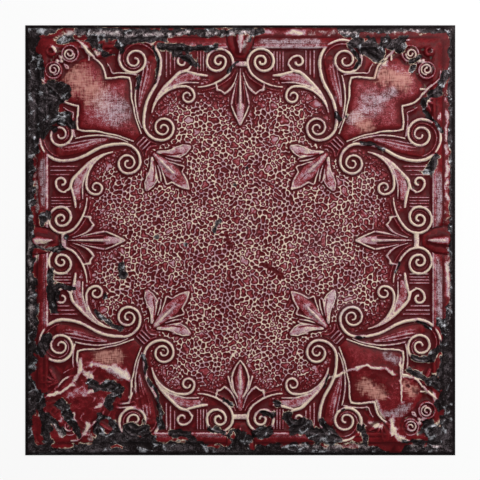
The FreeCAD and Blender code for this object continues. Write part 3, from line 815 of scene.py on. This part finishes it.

# %% [markdown]
# Some wear is not where the shape says: white scuffs on the rails, cream where the red flaked off,
# what looks like the print of a cloth on the shields' panels, and a few places of the field that
# are filled with paint. Pale painted highlights lie here and there as well, on the shields' panels,
# the coves and the field. No rule would put them there, so they are daubs too.

# %% Scuffs, cream patches, painted highlights and cloth print
SCUFFED = [(4, (308, 33), (345, 32)), (3, (345, 33), (420, 31)), (3.4, (447, 90), (446, 230)),
           (2.8, (448, 240), (448, 330)), (4, (36, 156), (37, 212)), (4, (60, 34), (250, 34)),
           (4, (250, 38), (240, 50)), (4, (30, 240), (32, 330)), (3, (300, 446), (440, 447)),
           (4, (54, 424), (62, 434)), (4, (88, 420), (90, 440)), (5, (424, 64), (432, 70)),
           (4, (62, 250), (36, 244))]
PALE = [
    (3.6, (264, 33), (306, 33)), (1.9, (446, 100), (446, 205)), (2.2, (447, 262), (447, 300)),
    (3.0, (84, 47), (92, 55), (98, 55)),
    (2.6, (54, 48), (62, 60)), (2.6, (38, 77), (45, 79)), (3.6, (38, 241), (48, 244)),
    (5.0, (431, 51)),
    (3.0, (386, 60), (377, 76)), (3.0, (440, 116), (431, 118)), (3.0, (429, 98), (426, 106)),
    (3.0, (79, 357), (81, 366), (76, 380)), (5.4, (92, 364), (112, 367), (121, 372), (129, 378)),
    (4.0, (84, 372), (92, 378)), (1.8, (50, 394), (62, 391), (74, 384)), (2.0, (86, 395), (96, 389)),
    (1.5, (68, 398), (73, 393)), (1.5, (132, 382), (133, 390), (130, 398)),
    (3.4, (73, 414), (77, 426)),
    (4.0, (87, 424), (85, 433)), (2.6, (100, 409), (106, 401)), (3.0, (150, 432)), (3.0, (60, 421)),
    (1.9, (330, 378), (350, 370), (367, 366)), (1.8, (367, 366), (385, 368), (396, 373)),
    (2.8, (402, 374), (412, 377), (421, 380)), (1.5, (401, 356), (400, 402)),
    (2.0, (352, 402), (376, 402)), (2.2, (376, 402), (382, 418)),
    (4.4, (390, 420), (393, 433), (402, 440)), (3.6, (430, 392), (437, 402)),
    (3.4, (380, 424), (366, 424)), (2.4, (168, 426), (174, 430)), (2.6, (37, 262), (40, 256)),
    (2.0, (204, 398), (200, 405)), (1.8, (228, 366), (230, 358), (236, 352)),
]
# Painted highlights: pale places where light would shine on the panels, the coves and the field.
HIGHLIGHT_DAUBS = [(24, (106, 104), (116, 112)), (15, (120, 110)), (10, (104, 96)), (20, (372, 104)),
         (10, (393, 93), (374, 104), (350, 120)), (8, (385, 354), (397, 360)),
         (7, (386, 414), (400, 411), (410, 404)), (7, (110, 369), (124, 376)),
         (9, (318, 45), (264, 45)), (6, (438, 175), (438, 225)), (6, (439, 262), (439, 315)),
         (6, (42, 160), (45, 205)), (50, (320, 250)), (30, (345, 300)), (20, (365, 180)),
         (24, (250, 225))]
WEAVE = [(22, (78, 78), (88, 86), (100, 100)), (17, (380, 76), (402, 80)),
         (13, (362, 384), (378, 394)), (10, (405, 386), (414, 392)), (16, (100, 356), (115, 358)),
         (14, (356, 118), (365, 128))]
SMOOTH = [(3.4, (265, 264), (272, 268), (281, 276)), (2, (226, 235), (232, 246))]
print("daubs", len(SCUFFED) + len(PALE) + len(HIGHLIGHT_DAUBS) + len(WEAVE) + len(SMOOTH))

# %% [markdown]
# The rest of wear and dirt follows the shape. A place that stands over its surroundings is rubbed,
# and one that lies under them keeps dirt and thick paint, and is darkened further as painted shade.
# The difference between the face and its own soft mean says which is which. Each kind of wear, and
# each painted highlight, shade and glint, is a layer of its own, so that the paint can give each its
# own colour.

# %% Wear, dirt and painted shade, painted highlights and glints, and bare metal
stands_out = face - blurred(face, 3.0)
wear_map = wear * (1 - 0.75 * crush) * (1 - 0.55 * wrinkled)
PALE_WEAR = 0.94
UPPER_PANELS = 0.36
LOWER_PANELS = 0.18
wear_map = np.maximum(wear_map, PALE_WEAR * ramp(daubs(PALE) + rough * 0.7, 0.0, 0.7))
panel_wear = np.where(Y > 0, UPPER_PANELS, LOWER_PANELS)
wear_map = np.maximum(wear_map, ramp(panel_in, 2, 12) * panel_wear)
wear_map = wear_map + 0.42 * crush * ramp(foil, 0.1, 0.75)
# Painted highlight: pale paint where light would shine, weaker in the open field.
painted_highlight = ramp(daubs(HIGHLIGHT_DAUBS) + rough * 0.2, 0.0, 0.8) * (1 - 0.55 * open_field)
weave = ramp(daubs(WEAVE) + rough * 0.3, 0.0, 0.9)
# Dirt and painted shade: hollows under their surroundings and the outer rim are darkened.
dirt_and_shade_map = np.clip(-stands_out / 1.2, 0.0, 1.0) * (1 - open_field)
DIRTY_AND_SHADED_RIM = (3.0, 6.0)
dirt_and_shade_map = np.maximum(dirt_and_shade_map, 1 - ramp(inset, *DIRTY_AND_SHADED_RIM))
# Painted glints: thin ridge lines where bright grey is painted on bare metal, as if they caught
# light.
painted_glint_lines = ramp(0.7 * sharp + 0.45 * cloud(7, 9, 0.6, 0.5) + 0.3 * cloud(19, 10), 0.20, 1.25)
in_from_edge = whole(field_in)
pit_depth = to_wall + 0.45 * (1 - ramp(in_from_edge, 4, 34))
filled = ramp(daubs(SMOOTH), 0.0, 0.5)
# Between the net and the heart of a pit the paint is plain and dark with dirt and painted shade,
# and so is a filled place.
BESIDE_NET = 1.05
pit_depth = pit_depth * (1 - filled) + BESIDE_NET * filled
scuff = ramp(daubs(SCUFFED) + rough * 0.5, 0.0, 0.7)
layers = {"wear": wear_map, "scuff": scuff, "dirt_and_shade": dirt_and_shade_map, "bare": bare, "painted_glint_lines": painted_glint_lines,
          "painted_highlight": painted_highlight, "weave": weave, "pits": pit_depth, "field": open_field * (1 - crush)}
print("mean wear", round(float(wear_map.mean()), 2), "mean dirt", round(float(dirt_and_shade_map.mean()), 2))

# %% [markdown]
# The grid has far more points than the flat parts need. A Displace modifier on a fine plane would
# keep them all. So each skin is made as a mesh of squares, and a Decimate modifier takes out most
# points where it is flat and few where it bends.


# %% A thinned skin
def skin(title, heights, step, share):
    """A thinned mesh of a grid of heights, its points in metres."""
    x, y, z = X[::step, ::step], Y[::step, ::step], heights[::step, ::step]
    rows, columns = x.shape
    points = np.stack([x, y, z], axis=-1).reshape(-1, 3) * MM
    index = np.arange(rows * columns).reshape(rows, columns)
    quads = np.stack([index[:-1, :-1], index[1:, :-1], index[1:, 1:], index[:-1, 1:]], axis=-1)
    full = bpy.data.meshes.new(title)
    full.from_pydata(points.tolist(), [], quads.reshape(-1, 4).tolist())
    piece = bpy.data.objects.new(title, full)
    bpy.context.collection.objects.link(piece)
    thin = piece.modifiers.new("thin", "DECIMATE")
    thin.ratio = share
    bpy.context.view_layer.update()
    got = piece.evaluated_get(bpy.context.evaluated_depsgraph_get())
    thinned = bpy.data.meshes.new_from_object(got)
    bpy.data.objects.remove(piece)
    bpy.data.meshes.remove(full)
    return thinned


FRONT_TRIANGLES = 168000
BACK_TRIANGLES = 24000
grid_triangles = 2 * (2 * CELLS) ** 2
front_mesh = skin("front", face, 1, FRONT_TRIANGLES / grid_triangles)
print("front", len(front_mesh.polygons), "faces, thinned from", grid_triangles // 2, "squares")

# %% [markdown]
# The back is the same sheet a thickness lower, and softer, as the back of a stamping is. A Solidify
# modifier would push each point back along its normal, and in the narrow folds the two skins could
# cut through each other. The lowest height near each place, less the thickness, stays under them.


# %% Back of the sheet
def eroded(field, reach):
    """The lowest height within a reach of cells."""
    low = field.copy()
    for _ in range(reach):
        pad = np.pad(low, 1, mode="edge")
        low = np.minimum.reduce([pad[1:-1, 1:-1], pad[:-2, 1:-1], pad[2:, 1:-1], pad[1:-1, :-2],
                                 pad[1:-1, 2:]])
    return low


BACK_SLACK = 0.12
FLAT_RIM = 4.0
back = np.maximum(blurred(eroded(face, 3), 1.0) - SHEET - BACK_SLACK, 0.0)
back = np.where(inset < FLAT_RIM, 0.0, back)
back_mesh = skin("back", back, 2, BACK_TRIANGLES / (grid_triangles / 4))
print("back", len(back_mesh.polygons), "faces")

# %% [markdown]
# The two skins are joined round the rim into one closed sheet, because a real sheet has an edge and
# a printed or weighed model needs a closed skin. Bridging the two open loops makes that edge. The
# thinning can fold two triangles onto each other, and these are looked for and taken out.

# %% Mesh of the sheet
work = bmesh.new()
work.from_mesh(back_mesh)
bmesh.ops.reverse_faces(work, faces=work.faces)
work.from_mesh(front_mesh)
loose = [edge for edge in work.edges if edge.is_boundary]
bmesh.ops.bridge_loops(work, edges=loose)
bmesh.ops.triangulate(work, faces=[f for f in work.faces if len(f.verts) > 3])
work.verts.index_update()
by_corners = {}
for flat in work.faces:
    by_corners.setdefault(frozenset(v.index for v in flat.verts), []).append(flat)
folded = [flat for same in by_corners.values() if len(same) > 1 for flat in same]
bmesh.ops.delete(work, geom=folded, context="FACES")
bmesh.ops.recalc_face_normals(work, faces=work.faces)
mesh = bpy.data.meshes.new("pressed_tin_sheet")
work.to_mesh(mesh)
open_edges = sum(1 for edge in work.edges if not edge.is_manifold)
work.free()
sheet = bpy.data.objects.new("pressed_tin_sheet", mesh)
bpy.context.collection.objects.link(sheet)
for polygon in mesh.polygons:
    polygon.use_smooth = True
print("sheet", len(mesh.vertices), "points", len(mesh.polygons), "triangles")
print("open edges", open_edges, "folded triangles taken out", len(folded))

# %% [markdown]
# The paint has to know how worn each place is. A picture could be wrapped on the sheet for that. An
# attribute needs no unwrapping: each layer of wear is read from the grid where a point lies, and is
# kept with that point.


# %% Layers on the mesh
def sampled(field, x, y):
    """The value of a grid between its points."""
    a = np.clip((x + SIDE / 2) / CELL, 0, 2 * CELLS - 1e-6)
    b = np.clip((y + SIDE / 2) / CELL, 0, 2 * CELLS - 1e-6)
    i, j = a.astype(int), b.astype(int)
    s, t = a - i, b - j
    low = field[i, j] * (1 - s) + field[i + 1, j] * s
    high = field[i, j + 1] * (1 - s) + field[i + 1, j + 1] * s
    return low * (1 - t) + high * t


spots = np.empty(len(mesh.vertices) * 3)
mesh.vertices.foreach_get("co", spots)
spots = spots.reshape(-1, 3) / MM
for title, field in layers.items():
    mesh.attributes.new(title, "FLOAT", "POINT").data.foreach_set(
        "value", sampled(field, spots[:, 0], spots[:, 1]).astype(np.float32))
UNDER_FACE = 0.25
on_back = spots[:, 2] < sampled(face, spots[:, 0], spots[:, 1]) - UNDER_FACE
mesh.attributes.new("behind", "FLOAT", "POINT").data.foreach_set(
    "value", on_back.astype(np.float32))
print("layers", list(layers), "points behind", int(on_back.sum()))

# %% [markdown]
# Nodes can be wired by hand in the shader editor, but this old finish takes more of them than the
# eye can follow. Here a node's socket is wrapped, so that a sum or a product of two values adds the
# Math node for it, and the finish can be read as plain sums. Every other node comes from one
# method, which takes its type, its settings and the values or links of its sockets.


# %% Shader arithmetic
class Value:
    """A socket that sums and products can be written with."""

    def __init__(self, finish, socket):
        self.finish = finish
        self.socket = socket

    def _math(self, operation, one, two):
        """A Math node on two values, or on a value and a number."""
        return self.finish.node("ShaderNodeMath", {"operation": operation}, {0: one, 1: two})

    def __add__(self, other):
        return self._math("ADD", self, other)

    def __sub__(self, other):
        return self._math("SUBTRACT", self, other)

    def __mul__(self, other):
        return self._math("MULTIPLY", self, other)

    def __radd__(self, other):
        return self._math("ADD", other, self)

    def __rsub__(self, other):
        return self._math("SUBTRACT", other, self)

    def __rmul__(self, other):
        return self._math("MULTIPLY", other, self)

    def most(self, other):
        """The larger of two values."""
        return self._math("MAXIMUM", self, other)

    def step(self, start, end):
        """0 where the value is under start, 1 over end, soft between."""
        return self.finish.node("ShaderNodeMapRange", {"interpolation_type": "SMOOTHSTEP"},
                                {0: self, 1: start, 2: end, 3: 0.0, 4: 1.0})


class Finish:
    """A material and the nodes that are put in it."""

    def __init__(self, title):
        self.material = bpy.data.materials.new(title)
        self.material.use_nodes = True
        self.tree = self.material.node_tree
        self.shader = self.tree.nodes["Principled BSDF"]

    def node(self, kind, settings=None, sockets=None, output=0):
        """Add a node: its settings first, then its sockets. The value of one output comes back."""
        made = self.tree.nodes.new(kind)
        for title, value in (settings or {}).items():
            setattr(made, title, value)
        for key, value in (sockets or {}).items():
            if isinstance(value, Value):
                self.tree.links.new(value.socket, made.inputs[key])
            else:
                made.inputs[key].default_value = value
        return Value(self, made.outputs[output])

    def layer(self, title):
        """One of the layers that the mesh's points carry."""
        return self.node("ShaderNodeAttribute", {"attribute_name": title}, output=2)

    def noise(self, place, scale, detail=2.0, rough=0.5):
        """Soft noise around zero, its scale in waves to the metre."""
        made = self.node("ShaderNodeTexNoise", sockets={"Vector": place, "Scale": scale,
                                                        "Detail": detail, "Roughness": rough})
        return made - 0.5

    def stretched(self, place, x, y):
        """The place, squeezed so that noise in it runs in streaks."""
        return self.node("ShaderNodeVectorMath", {"operation": "MULTIPLY"},
                         {0: place, 1: (x, y, 1.0)})

    def mixed(self, share, one, two):
        """A colour between two colours."""
        return self.node("ShaderNodeMix", {"data_type": "RGBA"}, {0: share, 6: one, 7: two}, 2)

    def feed(self, socket, value):
        """Link a value to one of the shader's own sockets."""
        self.tree.links.new(value.socket, self.shader.inputs[socket])


def paint(red, green, blue):
    """A colour as it is read off a screen, turned to the linear light that shaders add up."""
    parts = []
    for part in (red, green, blue):
        part = part / 255
        parts.append(part / 12.92 if part <= 0.04045 else ((part + 0.055) / 1.055) ** 2.4)
    return (*parts, 1.0)


print("a middle grey on a screen is", round(paint(128, 128, 128)[0], 3), "in linear light")

# %% [markdown]
# The old finish, from the metal up: dark bare steel, cream undercoat, and deep red on top that
# wear thins to lavender before it goes. A picture of old paint could be wrapped on the sheet, but
# it would not know where the crests are. So plain colours were picked from the photograph, and the
# layers of wear, dirt and painted light and shade say where each of them goes.

# %% Colours of the paint
# The deep red is dirt and painted shade in the hollows.
DEEP_RED = paint(66, 3, 8)
DARK_RED = paint(82, 8, 13)
RED = paint(112, 18, 25)
PINK = paint(140, 54, 62)
LAVENDER = paint(172, 136, 148)
CREAM = paint(216, 197, 175)
# A pale colour for painted highlights.
HIGHLIGHT_WHITE = paint(204, 194, 204)
SCUFFED_WHITE = paint(196, 186, 184)
LINEN = paint(196, 142, 130)
BLACK = paint(24, 17, 18)
DULL_STEEL = paint(98, 88, 92)
# Bright grey, painted on the bare metal's ridges as a glint.
GLINT_GREY = paint(178, 178, 184)
OLD_BACK = paint(74, 66, 62)
RUST = paint(112, 82, 62)
print("red in linear light", [round(part, 3) for part in RED[:3]])

# %% [markdown]
# Noise breaks each edge, so that no line of wear is clean. One noise with many octaves would do
# the same everywhere. Four of them apart, from broad patches down to specks, can be weighed anew
# for each finish. They lie on the sheet's own coordinates, so they stay on it when it is moved.

# %% Noise in the paint
worn = Finish("worn_red_paint_on_tin")
place = worn.node("ShaderNodeTexCoord", output=3)
fine = worn.noise(place, 700, 2.0)
speck = worn.noise(place, 1500, 1.0)
middle = worn.noise(place, 150, 3.0, 0.6)
broad = worn.noise(place, 22, 3.0, 0.6)
print("nodes so far", len(worn.tree.nodes))

# %% [markdown]
# In the pebbled field the net and the hearts of the pits are rubbed, and dirt and painted shade are
# put between them.
# Geometry's Pointiness finds crests too, but it depends on how the mesh was thinned. The distance to
# the wall of a pit is on the mesh already, so steps on it pick out the net and the heart.

# %% Wear, and dirt with painted shade
in_field = worn.layer("field").step(0.3, 0.7)
pits = worn.layer("pits") + fine * 0.7 + middle * 0.8
net = 1 - pits.step(0.0, 0.86)
core = pits.step(1.30, 2.15) * (1 - pits.step(3.4, 4.2))
net_wear = net * (0.82 + middle * 1.3 + broad * 0.9) + core * (0.42 + middle * 1.1 + broad * 0.8)
wear_value = worn.layer("wear") * (0.94 + middle * 0.8 + fine * 0.7 + speck * 0.4)
wear_value = wear_value + fine * 0.4 + middle * 0.3 + broad * 0.5
wear_value = wear_value.most(net_wear * in_field)
# Dirt and painted shade: the hollows, the rim and the ring round each pit's heart are darkened.
dirt_and_shade_value = worn.layer("dirt_and_shade").most(in_field * (1 - net) * (1 - core) * (0.30 - middle * 0.3))
print("nodes so far", len(worn.tree.nodes))

# %% [markdown]
# The red is darker and lighter in patches. As wear grows it goes through pink and a lavender bloom
# to the cream undercoat. One colour ramp could hold all of these. A mix for each gives each edge
# its own place and softness, and each is laid over the last as the real coats are.

# %% Red paint and what wear makes of it
colour = worn.mixed((middle * 1.4 + broad * 1.3 + fine * 0.8).step(-0.30, 0.34), DARK_RED, RED)
colour = worn.mixed(wear_value.step(0.20, 0.42), colour, PINK)
colour = worn.mixed(wear_value.step(0.40, 0.58), colour, LAVENDER)
colour = worn.mixed(wear_value.step(0.60, 0.90), colour, CREAM)
print("nodes so far", len(worn.tree.nodes))

# %% [markdown]
# On the shields' panels the paint looks as if a cloth had been pressed on it. A picture of linen
# would repeat. Noise squeezed one way and noise squeezed the other way add up like warp and weft.
# The painted highlights, and the dirt and painted shade in the hollows, then go over it.

# %% Cloth print, painted highlights, and dirt with painted shade
threads = worn.noise(worn.stretched(place, 0.1, 1.0), 800, 1.0)
threads = threads + worn.noise(worn.stretched(place, 1.0, 0.1), 800, 1.0)
linen = (worn.layer("weave") * 0.8 + threads * 1.2 + middle * 0.9 - 0.12).step(0.05, 1.0)
colour = worn.mixed(linen * worn.layer("weave").step(0.0, 0.5) * 0.8, colour, LINEN)
# Painted highlight: a pale whitish colour where light would shine on the panels and the coves.
highlight_value = worn.layer("painted_highlight") * (0.62 + fine * 1.6 + middle * 1.4 + threads * 0.8)
colour = worn.mixed(highlight_value.step(0.15, 1.0) * 0.55, colour, HIGHLIGHT_WHITE)
# Dirt and painted shade: the hollows go to deep red.
colour = worn.mixed((dirt_and_shade_value + middle * 0.12 - wear_value * 0.25).step(-0.02, 0.40) * 0.92,
                    colour, DEEP_RED)
print("nodes so far", len(worn.tree.nodes))

# %% [markdown]
# Where both coats are gone the steel is nearly black, with dull places at random and bright grey
# painted on its ridges as a glint. It is darkened further in the hollows and at the rim, as dirt and
# painted shade. A fringe of cream is left beside it. A second material with its own faces would need
# a clean line between the two. Mixed by a noisy value, the metal may bite into the paint as it does
# on the real tile.

# %% Bare metal, with painted glints and painted shade
bare_value = worn.layer("bare") + (fine + speck) * 0.5 + middle * 0.4
bare_steel = bare_value.step(0.46, 0.56)
metal = worn.mixed((middle * 1.3 + broad + fine * 1.3 + speck).step(-0.10, 0.55), BLACK, DULL_STEEL)
# Painted glint: bright grey on the metal's ridges, as if they caught the light.
glint = worn.layer("painted_glint_lines") * (0.62 + fine * 1.4 + speck * 1.0 + middle * 1.6)
metal = worn.mixed(glint.step(0.22, 0.80), metal, GLINT_GREY)
# Dirt and painted shade: the metal goes black in the hollows and at the rim.
metal = worn.mixed(dirt_and_shade_value.step(0.15, 0.7) * 0.8, metal, BLACK)
fringe = bare_value.step(0.24, 0.42) * (broad * 1.6 + middle).step(0.0, 0.25)
colour = worn.mixed(fringe, colour, CREAM)
colour = worn.mixed(bare_steel, colour, metal)
chips = wear_value.step(0.7, 1.0) * (middle * 1.5 + speck * 0.9).step(0.36, 0.46)
colour = worn.mixed(chips, colour, BLACK)
print("nodes so far", len(worn.tree.nodes))

# %% [markdown]
# Scuffs lie over all the rest, so they are mixed in last. The back is not seen in the photograph,
# and is taken to be dull old metal with a little rust. It could have a material of its own, but one
# slot for the whole sheet is simpler, and a layer says which side a point is on.

# %% Scuffs, and the back
scuff_value = worn.layer("scuff") * (0.50 + fine * 0.9 + middle * 1.7 + broad * 1.6)
scuffs = worn.mixed((fine + middle).step(-0.25, 0.25), LAVENDER, SCUFFED_WHITE)
colour = worn.mixed(scuff_value.step(0.28, 1.0) * 0.85, colour, scuffs)
behind = worn.layer("behind").step(0.4, 0.6)
rust = worn.mixed((broad + middle).step(-0.1, 0.3), OLD_BACK, RUST)
colour = worn.mixed(behind, colour, rust)
print("nodes so far", len(worn.tree.nodes))

# %% [markdown]
# The values go into the shader's sockets. Clean steel would be fully metallic, but this is stained
# and rough, so it is only partly so. The grain of the paint is too fine for the mesh and is bump,
# which also sharpens the net of the field a little.

# %% Worn paint
STAINED_STEEL = 0.55
GLOSS = 0.12
GRAIN_HIGH = 0.0008
worn.feed("Base Color", colour)
worn.feed("Metallic", bare_steel * STAINED_STEEL)
worn.feed("Roughness", 0.46 + fine * 0.3 - bare_steel * 0.06)
worn.shader.inputs["Specular IOR Level"].default_value = GLOSS
bump_height = fine * 0.30 + middle * 0.5 + speck * 0.12 - bare_steel * 0.2 + threads * 0.12
bump_height = bump_height + net * in_field * 0.5 + core * in_field * 0.2
bumped = worn.node("ShaderNodeBump", sockets={"Height": bump_height, "Distance": GRAIN_HIGH,
                                              "Strength": 0.8})
worn.feed("Normal", bumped)
mesh.materials.append(worn.material)
print("worn paint nodes", len(worn.tree.nodes))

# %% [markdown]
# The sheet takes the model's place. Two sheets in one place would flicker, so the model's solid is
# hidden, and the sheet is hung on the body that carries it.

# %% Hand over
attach(sheet, "root")
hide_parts("pressed_sheet")
print("sheet size", [round(float(side), 1) for side in np.ptp(spots, axis=0)], "mm")

# %% [markdown]
# The photograph's ground is white. Brighter lamps would whiten the floor, and bleach the tile too.
# So what the camera and glossy metal see of the floor mostly glows by itself, and the rest is matt,
# so that the tile's shadow still falls on it. It lies just under the tile.

# %% Floor
FLOOR_SIZE = 14.0
FLOOR_DROP = 0.0005
FLOOR_WHITE = (0.86, 0.86, 0.86, 1.0)
FLOOR_GLOW = 0.8
bpy.ops.mesh.primitive_plane_add(size=FLOOR_SIZE, location=(0, 0, -FLOOR_DROP))
floor = bpy.context.object
floor.name = "floor"
white = Finish("white_floor")
white.shader.inputs["Base Color"].default_value = FLOOR_WHITE
white.shader.inputs["Roughness"].default_value = 0.9
from_camera = white.node("ShaderNodeLightPath", output="Is Camera Ray")
from_gloss = white.node("ShaderNodeLightPath", output="Is Glossy Ray")
matt = Value(white, white.shader.outputs[0])
glow = white.node("ShaderNodeEmission", sockets={"Color": (1, 1, 1, 1), "Strength": 1.0})
blend = white.node("ShaderNodeMixShader",
                   sockets={0: from_camera.most(from_gloss) * FLOOR_GLOW, 1: matt, 2: glow})
white.tree.links.new(blend.socket, white.tree.nodes["Material Output"].inputs["Surface"])
floor.data.materials.append(white.material)
print("floor", FLOOR_SIZE, "m wide,", FLOOR_DROP, "m under the tile")

# %% [markdown]
# Soft light from a large lamp above, a little to the right and the top, as in the photograph, and a
# second one that rakes across from the same side, so that the relief shows. Small lamps would give
# hard shadows, so both are wide disks. A pale world fills what shadow is left.


# %% Light
def lamp(title, place, size, power):
    """A round lamp that shines on the tile's middle."""
    light = bpy.data.lights.new(title, "AREA")
    light.shape = "DISK"
    light.size = size
    light.energy = power
    holder = bpy.data.objects.new(title, light)
    holder.location = place
    holder.rotation_euler = (-Vector(place)).to_track_quat("-Z", "Y").to_euler()
    bpy.context.collection.objects.link(holder)


WORLD_LIGHT = 0.34
lamp("overhead", (0.55, 0.75, 1.9), 0.9, 25)
lamp("rake", (1.7, 1.5, 0.9), 0.8, 29)
world = bpy.data.worlds.new("studio")
bpy.context.scene.world = world
world.use_nodes = True
world.node_tree.nodes["Background"].inputs["Color"].default_value = (1, 1, 1, 1)
world.node_tree.nodes["Background"].inputs["Strength"].default_value = WORLD_LIGHT
print("lamps", [round(light.energy) for light in bpy.data.lights], "watts")

# %% [markdown]
# The camera looks straight down, as in the photograph. The lens could be turned until it looks
# right. Here it is worked out instead: the tile is so many pixels wide, so the whole frame is so
# many metres wide at the tile, and the lens follows from that and the camera's height.

# %% Camera
IMAGE_PIXELS = 480
HEIGHT = 1.8
OFF_MIDDLE = (-0.0003, 0.0004)
camera_data = bpy.data.cameras.new("camera")
camera_data.sensor_width = 36.0
seen_width = SIDE * MM * IMAGE_PIXELS / TILE_PIXELS
camera_data.lens = camera_data.sensor_width * HEIGHT / seen_width
camera = bpy.data.objects.new("camera", camera_data)
camera.location = (*OFF_MIDDLE, HEIGHT)
bpy.context.collection.objects.link(camera)
bpy.context.scene.camera = camera
bpy.context.scene.view_settings.view_transform = "Standard"
print("lens", round(camera_data.lens, 1), "mm")
